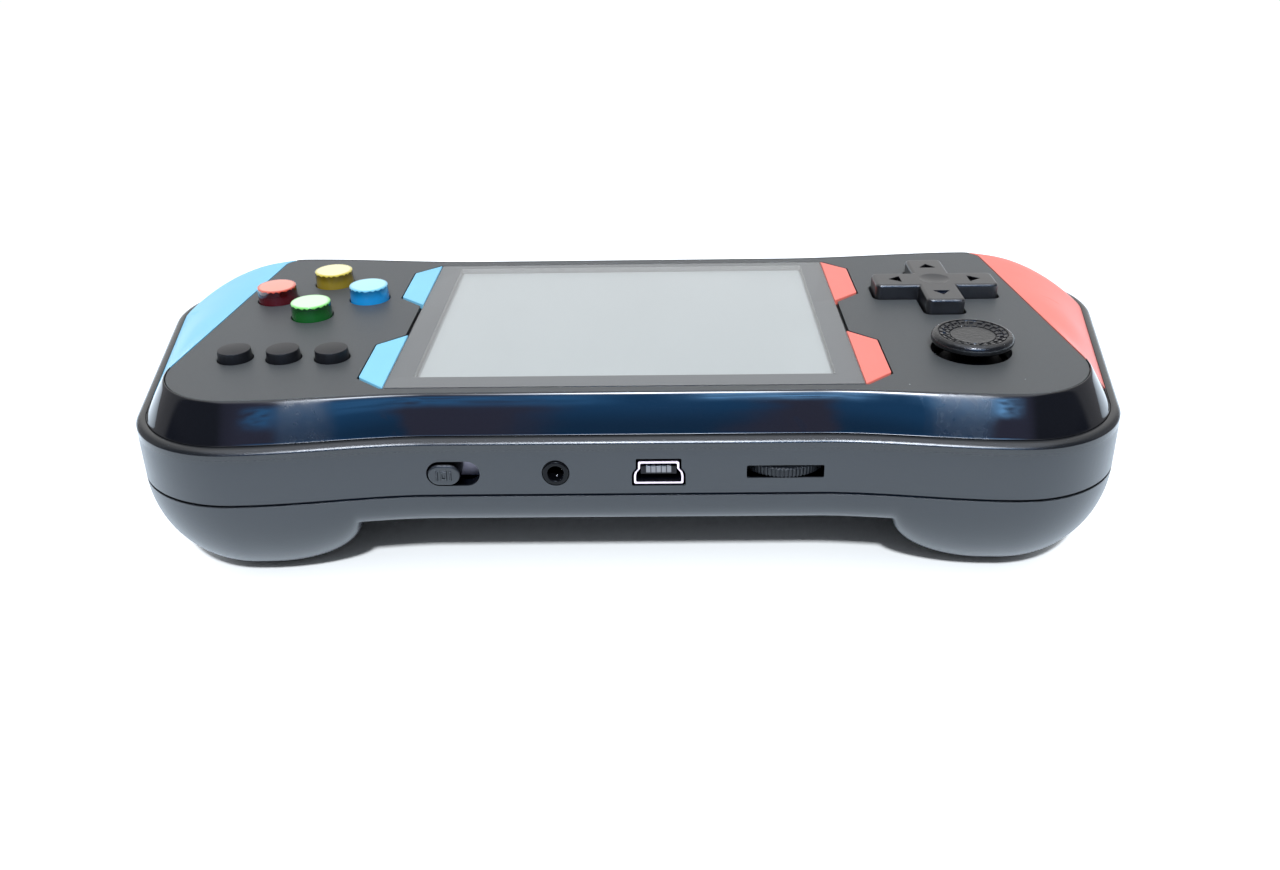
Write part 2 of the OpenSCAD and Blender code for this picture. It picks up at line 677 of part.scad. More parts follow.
module lcd_panel() {
    color("#b9bfc4") translate([0, lcd_y, 0]) {
        translate([-lcd_w / 2, -lcd_d / 2, z_lcd]) cube([lcd_w, lcd_d, lcd_t]);
        translate([-view_w / 2, -view_d / 2, z_lcd]) cube([view_w, view_d, lcd_t + view_t]);
    }
}
module lcd_tray() {
    color("#9a9da0") translate([0, lcd_y, 0]) {
        difference() {
            translate([-lcd_w / 2 - tray_t, -lcd_d / 2 - tray_t, z_lcd - tray_t])
                cube([lcd_w + 2 * tray_t, lcd_d + 2 * tray_t, tray_t + lcd_t / 2]);
            translate([-lcd_w / 2, -lcd_d / 2, z_lcd]) cube([lcd_w, lcd_d, lcd_t]);
        }
        for (x = [-1, 1], y = [-1, 1]) translate([x * (lcd_w / 2 - 3), y * (lcd_d / 2 - 3), z_deck])
            cylinder(r = 1.6, h = z_lcd - tray_t - z_deck);
    }
}
module main_board() {
    color("#1f5d3a") difference() {
        translate([0, 0, z_board]) linear_extrude(board_t) intersection() {
            polygon(rim(wall + board_gap));
            square([2 * board_half, 2 * body_d], center = true);
        }
        for (p = screw_spots) translate([p.x, p.y, z_board - cut])
            cylinder(r = boss_r + boss_gap, h = board_t + 2 * cut);
    }
}

// Push buttons: drafted cap with a rounded top, collar under the face plate, plunger over a rubber dome
action_spots = [for (a = [90, 180, 270, 0]) [-action_x, control_y] + action_r * dir(a)];
key_spots = [for (i = [-1, 0, 1]) [-key_x + i * key_pitch, key_y]];
z_collar = z_plate - collar_gap;
z_rubber = z_deck + rubber_t;
z_plunger = z_rubber + dome_h + press + press_gap;

module push_button(d, h, round, crown) {
    r = d / 2;
    rotate_extrude() polygon(concat(
        [[0, z_plunger], [r - 1, z_plunger], [r - 1, z_collar - collar_t]],
        [[r + draft + collar_w, z_collar - collar_t], [r + draft + collar_w, z_collar]],
        [[r + draft, z_collar], [r + draft, body_h]],
        [for (i = [0:4]) let (a = i * 22.5)
            [r - round + round * cos(a), body_h + h - crown - round + round * sin(a)]],
        [for (i = [3:-1:0]) let (t = i / 4) [(r - round) * t, body_h + h - crown * t * t]]));
}
module action_button(i) {
    translate([action_spots[i].x, action_spots[i].y, 0]) push_button(action_d, action_h, 0.6, 0.15);
}
module key(i) {
    translate([key_spots[i].x, key_spots[i].y, 0]) push_button(key_d, key_h, 0.5, 0.35);
}
module rubber_dome(r) {
    rotate_extrude() polygon([[0, z_deck], [r, z_deck], [r, z_rubber], [r - 0.8, z_rubber + dome_h],
                              [0, z_rubber + dome_h]]);
}
module button_yellow() {
    color("#e0b321", 0.85) action_button(0);
}
module button_red() {
    color("#d02b20", 0.85) action_button(1);
}
module button_green() {
    color("#2fb83a", 0.85) action_button(2);
}
module button_blue() {
    color("#2c92de", 0.85) action_button(3);
}
module key_left() {
    color("#1b1c1f") key(0);
}
module key_middle() {
    color("#1b1c1f") key(1);
}
module key_right() {
    color("#1b1c1f") key(2);
}
module action_membrane() {
    color("#c8cbcc") union() {
        translate([-action_x, control_y, z_deck]) linear_extrude(rubber_t)
            rotate(45) round_rect(1.4 * action_r + action_d + 2, 1.4 * action_r + action_d + 2, 3);
        for (p = action_spots) translate([p.x, p.y, 0]) rubber_dome(action_d / 2 - 0.2);
    }
}
module key_membrane() {
    color("#c8cbcc") union() {
        translate([-key_x, key_y, z_deck]) linear_extrude(rubber_t)
            round_rect(2 * key_pitch + key_d + 2, key_d + 2, 2);
        for (p = key_spots) translate([p.x, p.y, 0]) rubber_dome(key_d / 2 - 0.1);
    }
}

// Cross pad: rocks on a pivot under its middle, over four rubber domes
z_pad = z_plate - pad_drop - collar_t;
z_pivot = z_pad + collar_t / 2;
pad_arm = pad_l / 2 - 3;

module cross(l, w, r) {
    round_rect(l, w, r);
    round_rect(w, l, r);
}
module arrow() {
    polygon([[-arrow_w / 2, 0], [arrow_w / 2, 0], [0, arrow_l]]);
}
module d_pad() {
    color("#1c1d20") translate([pad_x, pad_y, 0]) difference() {
        union() {
            translate([0, 0, z_pad]) linear_extrude(collar_t)
                cross(pad_l + 2 * collar_w, pad_w + 2 * collar_w, pad_r);
            translate([0, 0, z_pad]) linear_extrude(body_h + pad_h - 0.4 - z_pad) cross(pad_l, pad_w, pad_r);
            translate([0, 0, z_pad]) linear_extrude(body_h + pad_h - z_pad)
                cross(pad_l - 0.8, pad_w - 0.8, pad_r - 0.3);
            for (a = [0:90:270]) rotate(a) translate([pad_arm, 0, z_pad - pad_foot_h])
                cylinder(r = pad_foot_r, h = pad_foot_h + cut);
        }
        translate([0, 0, z_pivot]) sphere(r = pivot_r + ball_gap);
        translate([0, 0, body_h + pad_h + dish_r - dish_depth]) sphere(r = dish_r, $fn = 64);
        for (a = [0:90:270]) rotate(a) translate([0, pad_arm + 0.2 - arrow_l, body_h + pad_h - 0.3])
            linear_extrude(1) arrow();
    }
}
module d_pad_pivot() {
    color("#d8d8d4") translate([pad_x, pad_y, 0]) {
        translate([0, 0, z_pivot]) sphere(r = pivot_r);
        translate([0, 0, z_deck + pivot_gap]) cylinder(r = foot_r, h = z_pivot - z_deck - pivot_gap);
    }
}
module d_pad_membrane() {
    color("#c8cbcc") translate([pad_x, pad_y, 0]) difference() {
        union() {
            translate([0, 0, z_deck]) linear_extrude(rubber_t) cross(pad_l + 1, pad_w + 1, 2);
            for (a = [0:90:270]) rotate(a) translate([pad_arm, 0, 0]) rubber_dome(2.4);
        }
        translate([0, 0, z_deck - cut]) cylinder(r = foot_r + foot_gap, h = rubber_t + 2 * cut);
    }
}

// Stick: mushroom cap and dust dome on a gimbal ring with two crossed pin axes
z_gimbal = z_deck + gimbal_h;
dome_r = body_h + stick_gap - 0.35 - z_gimbal;
dome_t = 0.9;
stem_r = 1.5;
neck_r = 2.2;
ring_in = 2.9;
ring_out = 4;
ring_h = 1.2;
post_x = ring_out + 0.35;
post_t = 0.8;
post_w = 1.6;
base_r = 6;
base_t = 0.6;

module stick_cap() {
    r = stick_d / 2;
    top = body_h + stick_h;
    low = body_h + stick_gap;
    a0 = asin(2 / dome_r);
    color("#17181b") translate([stick_x, stick_y, 0]) {
        rotate_extrude() polygon(concat(
            [[0, z_gimbal - ring_h], [stem_r, z_gimbal - ring_h], [stem_r, z_gimbal + dome_r - dome_t - 0.7]],
            [for (i = [0:8]) let (a = mix(74, a0, i / 8)) (dome_r - dome_t) * dir(a) + [0, z_gimbal]],
            [for (i = [0:8]) let (a = mix(a0, 72, i / 8)) dome_r * dir(a) + [0, z_gimbal]],
            [[neck_r, low + 0.3], [r - 1.6, low]],
            [for (i = [0:8]) let (a = -90 + i * 20, q = (top - low) / 2)
                [r - q + q * cos(a), low + q + q * sin(a)]],
            [[r - 2.4, top - 0.35], [r - 2.6, top - 0.5], [0, top - 0.5]]));
        translate([0, 0, z_gimbal]) rotate([90, 0, 0])
            cylinder(r = pin_r, h = 2 * ring_out, center = true);
    }
}
module stick_gimbal() {
    color("#d8d8d4") translate([stick_x, stick_y, z_gimbal]) difference() {
        union() {
            cylinder(r = ring_out, h = ring_h, center = true);
            rotate([0, 90, 0]) cylinder(r = pin_r, h = 2 * (post_x + post_t), center = true);
        }
        cylinder(r = ring_in, h = 2 * ring_h, center = true);
        rotate([90, 0, 0]) cylinder(r = pin_r + pin_gap, h = 3 * ring_out, center = true);
    }
}
module stick_base() {
    color("#3a3b3e") translate([stick_x, stick_y, z_deck]) difference() {
        union() {
            cylinder(r = base_r, h = base_t);
            for (s = [-1, 1]) translate([s * (post_x + post_t / 2) - post_t / 2, -post_w / 2, 0])
                cube([post_t, post_w, gimbal_h + post_w / 2]);
        }
        translate([0, 0, gimbal_h]) rotate([0, 90, 0])
            cylinder(r = pin_r + pin_gap, h = 3 * base_r, center = true);
    }
}

// Sockets on the near face, all hanging from the board
module switch_knob() {
    x = switch_x - (slot_l - knob_l) / 2 + knob_gap;
    color("#1d1e21") union() {
        into_case(x, z_port, -knob_out, wall + knob_out + 1) pill(knob_l, slot_h - 2 * knob_gap);
        for (i = [-2:2]) into_case(x + i * 0.7, z_port, -knob_out - 0.15, 0.3)
            square([0.3, 1.8], center = true);
    }
}
module switch_body() {
    color("#b4b7ba") into_case(switch_x, z_port, wall + 1.3, 3.6)
        translate([-slot_l / 2, -slot_h / 2]) square([slot_l, slot_h / 2 + usb_h / 2]);
}
module av_jack() {
    color("#16171a") difference() {
        union() {
            into_case(jack_x, z_port, 0.1, wall + 0.5) circle(d = jack_d);
            into_case(jack_x, z_port, wall + 0.3, jack_l + 0.5 - wall)
                translate([-2.5, -2.1]) square([5, 2.1 + usb_h / 2]);
        }
        into_case(jack_x, z_port, -cut, jack_l + cut) circle(d = jack_bore_d);
    }
}

// Mini USB outline: wide below, stepped in at both sides, narrow above
module usb_outline(g) {
    w = usb_w / 2 + g;
    n = usb_w / 2 - 0.65 + g;
    h = usb_h / 2 + g;
    polygon([[-w, -h], [w, -h], [w, -0.5], [w - 0.15, 0.1], [n, 0.7], [n, h], [-n, h], [-n, 0.7],
             [0.15 - w, 0.1], [-w, -0.5]]);
}
module usb_shell() {
    color("#c9ccd0") difference() {
        into_case(usb_x, z_port, 0, usb_l) usb_outline(0);
        into_case(usb_x, z_port, -cut, usb_l - 1 + cut) usb_outline(-usb_t);
    }
}
module usb_insert() {
    color("#1a1b1e") union() {
        into_case(usb_x, z_port, usb_l - 2.5, 1.5) usb_outline(-usb_t - 0.05);
        into_case(usb_x, z_port + 0.55, 1.2, usb_l - 3) square([2 * usb_pitch + 2.2, 0.9], center = true);
    }
}
module usb_contacts() {
    color("#d9c27a") for (i = [-2:2])
        into_case(usb_x + i * usb_pitch, z_port + 1.12, 1.5, usb_l - 4) square([0.4, 0.24], center = true);
}

// Volume: ribbed wheel on the axle of its potentiometer
wheel_c = [wheel_x, y_face - wheel_out + wheel_d / 2];
module volume_wheel() {
    r = wheel_d / 2;
    step = 360 / wheel_ribs;
    color("#1c1d1f") translate([wheel_c.x, wheel_c.y, z_port - wheel_t / 2]) difference() {
        linear_extrude(wheel_t) polygon([for (i = [0:wheel_ribs - 1]) each
            [r * dir(i * step - step * 0.28), r * dir(i * step + step * 0.12),
             (r - 0.25) * dir(i * step + step * 0.28), (r - 0.25) * dir(i * step + step * 0.6)]]);
        translate([0, 0, -cut]) cylinder(r = axle_r + axle_gap, h = wheel_t + 2 * cut);
    }
}
module volume_pot() {
    h = z_board - z_port - wheel_t / 2 - wheel_gap;
    color("#5a4632") translate([wheel_c.x, wheel_c.y, 0]) {
        translate([0, 0, z_board - h]) cylinder(r = wheel_d / 2 - wheel_out - wall - pot_gap, h = h);
        translate([0, 0, z_port - wheel_t / 2 - wheel_gap - 0.6])
            cylinder(r = axle_r, h = wheel_t + 2 * wheel_gap + 0.6 + h / 2);
        translate([0, 0, z_port - wheel_t / 2 - wheel_gap - 0.6]) cylinder(r = axle_r + 0.9, h = 0.6);
    }
}

// Inside the rear shell
module battery() {
    color("#8d9196") translate([0, battery_y, z_belly + wall]) linear_extrude(battery_t)
        round_rect(battery_l, battery_w, 2);
}
module speaker() {
    color("#47494c") translate([speaker_x, speaker_y, z_belly + wall]) {
        difference() {
            cylinder(d = speaker_d, h = speaker_t * 0.5);
            translate([0, 0, -cut]) cylinder(d = speaker_d - 2, h = speaker_t * 0.3 + cut);
        }
        translate([0, 0, speaker_t * 0.4]) cylinder(d = speaker_d * 0.6, h = speaker_t * 0.6);
    }
}
module case_screws() {
    color("#8f9295") for (p = screw_spots) translate([p.x, p.y, 0]) difference() {
        union() {
            translate([0, 0, z_joint - 2 * head_h]) cylinder(r = head_r, h = head_h);
            translate([0, 0, z_joint - 1.5 * head_h]) cylinder(r = screw_r, h = screw_l + head_h / 2);
        }
        for (a = [0, 90]) rotate(a) translate([-1.1, -0.25, z_joint - 2 * head_h - cut])
            cube([2.2, 0.5, cut + 0.6]);
    }
}

face_plate();
bezel_near();
bezel_far();
end_cap_blue();
end_cap_red();
front_shell();
rear_shell();
screen_lens();
ears_blue();
ears_red();
lcd_panel();
lcd_tray();
main_board();
d_pad();
d_pad_pivot();
d_pad_membrane();
stick_cap();
stick_gimbal();
stick_base();
button_yellow();
button_red();
button_green();
button_blue();
action_membrane();
key_left();
key_middle();
key_right();
key_membrane();
switch_knob();
switch_body();
av_jack();
usb_shell();
usb_insert();
usb_contacts();
volume_wheel();
volume_pot();
battery();
speaker();
case_screws();
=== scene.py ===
"""A handheld game console: its looks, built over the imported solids, in metres and in their frame."""
import math

import bmesh
import bpy
import numpy as np
from mathutils import Matrix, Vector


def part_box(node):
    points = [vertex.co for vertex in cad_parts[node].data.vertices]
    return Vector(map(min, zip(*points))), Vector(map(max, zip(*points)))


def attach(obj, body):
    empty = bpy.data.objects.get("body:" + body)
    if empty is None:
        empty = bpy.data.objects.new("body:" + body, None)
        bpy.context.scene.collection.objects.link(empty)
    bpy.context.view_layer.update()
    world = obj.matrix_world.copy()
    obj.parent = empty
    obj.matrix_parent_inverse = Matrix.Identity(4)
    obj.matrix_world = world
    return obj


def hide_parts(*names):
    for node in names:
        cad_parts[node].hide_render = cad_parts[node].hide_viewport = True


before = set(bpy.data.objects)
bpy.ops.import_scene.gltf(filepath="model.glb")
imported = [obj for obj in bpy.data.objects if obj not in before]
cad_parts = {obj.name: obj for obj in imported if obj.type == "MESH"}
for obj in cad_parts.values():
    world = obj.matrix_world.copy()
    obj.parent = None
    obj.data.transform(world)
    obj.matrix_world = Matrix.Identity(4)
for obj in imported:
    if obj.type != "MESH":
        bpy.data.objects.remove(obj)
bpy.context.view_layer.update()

# Rear shell
# The lower half of the case, moulded in satin black plastic: a flat belly with two round grips
# swelling out of it. Six counterbores take the case screws and five slots let the sound out.
MM = 0.001


def extent(node):
    """Lowest and highest corner of one of the frame's solids, in millimetres."""
    return [np.array(corner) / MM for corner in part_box(node)]


def size_of(node):
    """Size of one of the frame's solids along x, y and z, in millimetres."""
    return np.ptp(extent(node), 0)


def middle(node):
    """Middle of one of the frame's solids, in millimetres."""
    return np.mean(extent(node), 0)


rim_low, rim_high = extent("front_shell")
half_w, half_d, z_part, z_rim = rim_high[0], rim_high[1], rim_low[2], rim_high[2]
wall = 2.2
near_r, far_r, flare = 18.9, 20.0, 8.6
near_dip, far_dip, flat_half = 3.0, 2.9, 30.0
near_c = np.array([half_w - flare - near_r, near_r - half_d])
far_c = np.array([half_w - far_r, half_d - far_r])
flat_n, edge_n, corner_n, side_n = 16, 64, 33, 12
near_k = flat_n + edge_n + corner_n // 2
far_k = near_k + corner_n - 1 + side_n


def smoothstep(t):
    """0 below 0, 1 above 1, and 3 t^2 - 2 t^3 between them."""
    t = np.clip(t, 0, 1)
    return t * t * (3 - 2 * t)


def plan(near, near_r, far, far_r, near_dip, far_dip):
    """Closed plan outline, from the middle of the near edge round to the right, mirrored for the left half.

    Each long edge is flat to flat_half and then follows a smoothstep out to its corner circle. The side is
    the line that touches both corner circles: its normal is the line of centres turned by the arc cosine
    of the difference of the radii over the distance of the centres.
    """
    span = far - near
    turn = math.atan2(span[1], span[0]) - math.acos((near_r - far_r) / math.hypot(*span))
    flat = np.linspace(0, flat_half, flat_n, endpoint=False)
    t = np.linspace(0, 1, edge_n, endpoint=False)
    fade = np.r_[np.ones(flat_n), 1 - smoothstep(t)]
    near_edge = np.column_stack([np.r_[flat, flat_half + (near[0] - flat_half) * t],
                                 near[1] - near_r + near_dip * fade])
    far_edge = np.column_stack([np.r_[flat, flat_half + (far[0] - flat_half) * t],
                                far[1] + far_r - far_dip * fade])
    a = np.linspace(-math.pi / 2, turn, corner_n)
    b = np.linspace(turn, math.pi / 2, corner_n)
    near_arc = near + near_r * np.column_stack([np.cos(a), np.sin(a)])
    far_arc = far + far_r * np.column_stack([np.cos(b), np.sin(b)])
    along = np.linspace(0, 1, side_n + 1)[1:-1, None]
    side = near_arc[-1] + (far_arc[0] - near_arc[-1]) * along
    half = np.vstack([near_edge, near_arc, side, far_arc, far_edge[::-1]])
    return np.vstack([half, half[-2:0:-1] * [-1, 1]])


def case_plan(inset):
    """Outline of the case, moved in by inset."""
    return plan(near_c, near_r - inset, far_c, far_r - inset, near_dip, far_dip)


def at(outline, z):
    """A plan outline lifted to a height."""
    return np.column_stack([outline, np.broadcast_to(z, len(outline))])


def quads(rows, columns, wrap_rows=False, wrap_columns=True):
    """Faces of a grid of points: each quad joins two neighbouring rows and two neighbouring columns."""
    r = np.arange(rows if wrap_rows else rows - 1)[:, None]
    c = np.arange(columns if wrap_columns else columns - 1)[None, :]
    here, there, right = r * columns, (r + 1) % rows * columns, (c + 1) % columns
    return np.stack([here + c, here + right, there + right, there + c], -1).reshape(-1, 4)


def grid(points, **wraps):
    """Points on a grid of rows and columns, as a list of points with their quads."""
    return points.reshape(-1, 3), quads(*points.shape[:2], **wraps).tolist()


def smooth_mesh(mesh, angle=38):
    """Welds a mesh, turns its faces outwards and shades it smooth but for edges sharper than angle."""
    work = bmesh.new()
    work.from_mesh(mesh)
    bmesh.ops.remove_doubles(work, verts=work.verts, dist=2e-7)
    bmesh.ops.dissolve_degenerate(work, edges=work.edges, dist=1e-8)
    bmesh.ops.recalc_face_normals(work, faces=work.faces)
    work.to_mesh(mesh)
    work.free()
    mesh.shade_smooth()
    mesh.set_sharp_from_angle(angle=math.radians(angle))


def placed(name, data):
    """An object of a mesh, curve, lamp or camera, linked into the scene."""
    made = bpy.data.objects.new(name, data)
    bpy.context.scene.collection.objects.link(made)
    return made


def surface(name, *parts):
    """An object from parts given as (points in millimetres, faces)."""
    starts = np.cumsum([0] + [len(points) for points, faces in parts])
    faces = [[start + i for i in face] for start, part in zip(starts.tolist(), parts) for face in part[1]]
    mesh = bpy.data.meshes.new(name)
    mesh.from_pydata((np.vstack([points for points, _ in parts]) * MM).tolist(), [], faces)
    smooth_mesh(mesh)
    return placed(name, mesh)


def work_in(piece, angle):
    """Works a piece's modifiers into its mesh and keeps edges sharper than angle."""
    mesh = bpy.data.meshes.new_from_object(piece.evaluated_get(bpy.context.evaluated_depsgraph_get()))
    piece.modifiers.clear()
    piece.data = mesh
    mesh.shade_smooth()
    mesh.set_sharp_from_angle(angle=math.radians(angle))


def cut(piece, *solids, angle=38):
    """Takes closed solids, given as (points, faces), out of a piece."""
    tool = surface("cutter", *solids)
    cutting = piece.modifiers.new("cut", "BOOLEAN")
    cutting.operation, cutting.solver, cutting.object = "DIFFERENCE", "EXACT", tool
    work_in(piece, angle)
    bpy.data.objects.remove(tool)


def prism(loop, low, high):
    """Solid between two copies of a closed loop, at two heights."""
    n = len(loop)
    ends = [list(range(n)), list(range(n, 2 * n))]
    return np.vstack([at(loop, low), at(loop, high)]), quads(2, n).tolist() + ends


def stadium(length, height, centre, steps=17):
    """Loop of two half circles joined by straight lines."""
    a = np.linspace(-math.pi / 2, math.pi / 2, steps)
    half = np.column_stack([(length - height) / 2 + height / 2 * np.cos(a), height / 2 * np.sin(a)])
    return np.vstack([half, -half]) + centre


def turned(profile, centre, steps=64, closed=False):
    """Turned form: each (radius, height) of a profile goes round an upright axis at centre."""
    r, h = np.asarray(profile, float).T[:, :, None]
    a = np.linspace(0, 2 * math.pi, steps, endpoint=False)
    points = np.stack([centre[0] + r * np.cos(a), centre[1] + r * np.sin(a), h + 0 * a], -1)
    return grid(points, wrap_rows=closed)


z_belly = extent("battery")[0][2] - wall
grip_x, grip_flank, grip_blend = 57.5, 15.0, 2.0
grip_fade_y, grip_fade, grip_flank_h = 12.0, 22.0, z_belly + 1.4
belly_round, grip_round, last_inset, edge_in, edge_drop = 4.0, 15.0, 16.0, 0.12, 0.08
belly_depth = z_part - z_belly


def rear_depth(x, y):
    """Depth of the rear shell below the parting line.

    A grip's flank is a quarter circle across x that fades with a smoothstep along y. The deeper of belly
    and flank counts, with their meeting line eased by a parabola of width grip_blend.
    """
    t = np.clip((grip_x - np.abs(x)) / grip_flank, 0, 1)
    grip = np.sqrt(1 - t * t) * smoothstep((grip_fade_y + grip_fade - y) / grip_fade)
    flank = z_part - grip_flank_h * (1 - grip)
    ease = np.clip(grip_blend - np.abs(flank - belly_depth), 0, None)
    return np.maximum(flank, belly_depth) + ease ** 2 / (4 * grip_blend)


def rear_skin():
    """Outer skin of the rear shell: rings inside the case outline, then a patch blended from the last ring.

    At inset e the skin lies depth * sqrt(1 - (1 - e / rounding)^2) below the parting line, where the rounding
    grows with the depth. A first ring, edge_in inside the outline, breaks the edge at the parting line. The
    patch is the Coons patch of the last ring's four edges, at the full depth.
    """
    inset = last_inset * (1 - np.cos(np.linspace(0, math.pi / 2, 36)))
    ring = np.stack([case_plan(e) for e in inset])
    depth = rear_depth(ring[..., 0], ring[..., 1])
    rounding = belly_round + (grip_round - belly_round) * (depth - belly_depth) / (z_part - belly_depth)
    fall = np.sqrt(1 - np.clip(1 - inset[:, None] / rounding, 0, 1) ** 2)
    rings = np.dstack([ring, np.minimum(z_part - depth * fall, z_part - edge_drop)])
    rings = np.concatenate([[at(case_plan(edge_in), z_part)], rings])
    last, n = ring[-1], ring.shape[1]
    near = last[np.arange(-near_k, near_k + 1)]
    far = last[np.arange(n - far_k, far_k - 1, -1)]
    right = last[np.arange(near_k, far_k + 1)]
    left = last[n - np.arange(near_k, far_k + 1)]
    u = ((near[:, 0] - near[0, 0]) / np.ptp(near[:, 0]))[None, :, None]
    v = ((right[:, 1] - right[0, 1]) / np.ptp(right[:, 1]))[:, None, None]
    corners = (1 - v) * ((1 - u) * near[0] + u * near[-1]) + v * ((1 - u) * far[0] + u * far[-1])
    patch = (1 - v) * near + v * far + (1 - u) * left[:, None] + u * right[:, None] - corners
    patch = np.dstack([patch, z_part - rear_depth(patch[..., 0], patch[..., 1])])
    return grid(rings), grid(patch, wrap_columns=False)


rear = surface("rear_shell_moulding", *rear_skin())
thick = rear.modifiers.new("wall", "SOLIDIFY")
thick.thickness, thick.offset = wall * MM, -1.0

screw_spots = np.array([[s * x, y] for s in (-1, 1) for x, y in ((41.0, -10.0), (67.0, -3.5), (58.0, 28.0))])
head_bore, head_h, screw_bore, boss_r, past = 2.0, 1.4, 1.1, 2.6, 1.0
z_joint = extent("rear_shell")[1][2]
z_head = extent("case_screws")[0][2] + head_h
slot_w, slot_n, slot_margin = 1.2, 5, 2.0
slot_y = (np.arange(slot_n) - (slot_n - 1) / 2) * 2 * slot_w
slot_l = 2 * np.sqrt((size_of("speaker")[0] / 2 - slot_margin) ** 2 - slot_y ** 2)
cut(rear,
    *[turned([(0, -past), (head_bore, -past), (head_bore, z_head), (0, z_head)], spot) for spot in screw_spots],
    *[prism(stadium(length, slot_w, middle("speaker")[:2] + [0, y]), z_belly - past, z_belly + wall + past)
      for length, y in zip(slot_l, slot_y)])
floor = z_part - rear_depth(*screw_spots.T)
cups = surface("rear_shell_screw_cups", *[
    turned([(head_bore, low + wall / 2), (head_bore, z_head), (screw_bore, z_head), (screw_bore, z_joint),
            (boss_r, z_joint), (boss_r, low + wall / 2)], spot, closed=True)
    for spot, low in zip(screw_spots, floor)])


class Value:
    """A socket in one material. Arithmetic on values, with each other or with numbers, adds Math nodes."""

    def __init__(self, tree, socket):
        self.tree, self.socket = tree, socket

    def node(self, kind, settings, inputs, output=0):
        """Any node: its type, its settings, which are set first, then the values or links of its sockets."""
        made = self.tree.nodes.new(kind)
        for key, setting in settings.items():
            setattr(made, key, setting)
        for key, given in inputs.items():
            if isinstance(given, Value):
                self.tree.links.new(given.socket, made.inputs[key])
            else:
                made.inputs[key].default_value = given
        return Value(self.tree, made.outputs[output])

    def math(self, operation, first, second):
        """A Math node with one or two inputs; an operation of one ignores the second."""
        return self.node("ShaderNodeMath", {"operation": operation}, {0: first, 1: second})

    def __add__(self, other):
        return self.math("ADD", self, other)

    def __sub__(self, other):
        return self.math("SUBTRACT", self, other)

    def __rsub__(self, other):
        return self.math("SUBTRACT", other, self)

    def __mul__(self, other):
        return self.math("MULTIPLY", self, other)

    def __truediv__(self, other):
        return self.math("DIVIDE", self, other)

    def __pow__(self, other):
        return self.math("POWER", self, other)

    def __gt__(self, other):
        return self.math("GREATER_THAN", self, other)

    def __lt__(self, other):
        return self.math("LESS_THAN", self, other)

    def __abs__(self):
        return self.math("ABSOLUTE", self, 0.0)

    __radd__, __rmul__ = __add__, __mul__

    def noise(self, size, detail=2.0):
        """Noise with features of a size in millimetres, about 0.5 on average."""
        return self.node("ShaderNodeTexNoise", {}, {"Vector": self, "Scale": 1 / (size * MM), "Detail": detail})

    def dots(self, pitch, radius, share):
        """1 inside dots of a radius, one in each cell of a pitch, kept in that share of the cells."""
        cell = {"Vector": self, "Scale": 1 / (pitch * MM)}
        near = self.node("ShaderNodeTexVoronoi", {}, cell) < radius / pitch
        lot = self.node("ShaderNodeSeparateColor", {}, {0: self.node("ShaderNodeTexVoronoi", {}, cell, 1)})
        return near * (lot < share)

    def blend(self, first, second):
        """A colour from first, where this value is 0, to second, where it is 1."""
        inputs = {0: self, 6: first, 7: second}
        return self.node("ShaderNodeMix", {"data_type": "RGBA"}, inputs, 2)

    def bump(self, depth, strength=1.0):
        """A normal from this value taken as a height of depth millimetres."""
        return self.node("ShaderNodeBump", {}, {"Strength": strength, "Distance": depth * MM, "Height": self})

    def axes(self):
        """The three parts of a vector."""
        parts = self.node("ShaderNodeSeparateXYZ", {}, {0: self}).socket.node.outputs
        return [Value(self.tree, part) for part in parts]


def ramp(value, low, high):
    """A value's smoothstep from low, where it is 0, to high, where it is 1; low may be the larger."""
    return value.node("ShaderNodeMapRange", {"interpolation_type": "SMOOTHSTEP"},
                      {"Value": value, "From Min": low, "From Max": high})


def finish(name, constants, varying):
    """A material: constants of its shader, and varying(place) gives the values over the Object coordinates."""
    made = bpy.data.materials.new(name)
    made.use_nodes = True
    tree = made.node_tree
    shader = tree.nodes["Principled BSDF"]
    for socket, given in constants.items():
        shader.inputs[socket].default_value = given
    place = Value(tree, tree.nodes.new("ShaderNodeTexCoord").outputs["Object"])
    for socket, value in varying(place).items():
        tree.links.new(value.socket, shader.inputs[socket])
    return made


def tint(colour, share):
    """A colour made lighter or darker, with its alpha."""
    return (*[c * share for c in colour], 1.0)


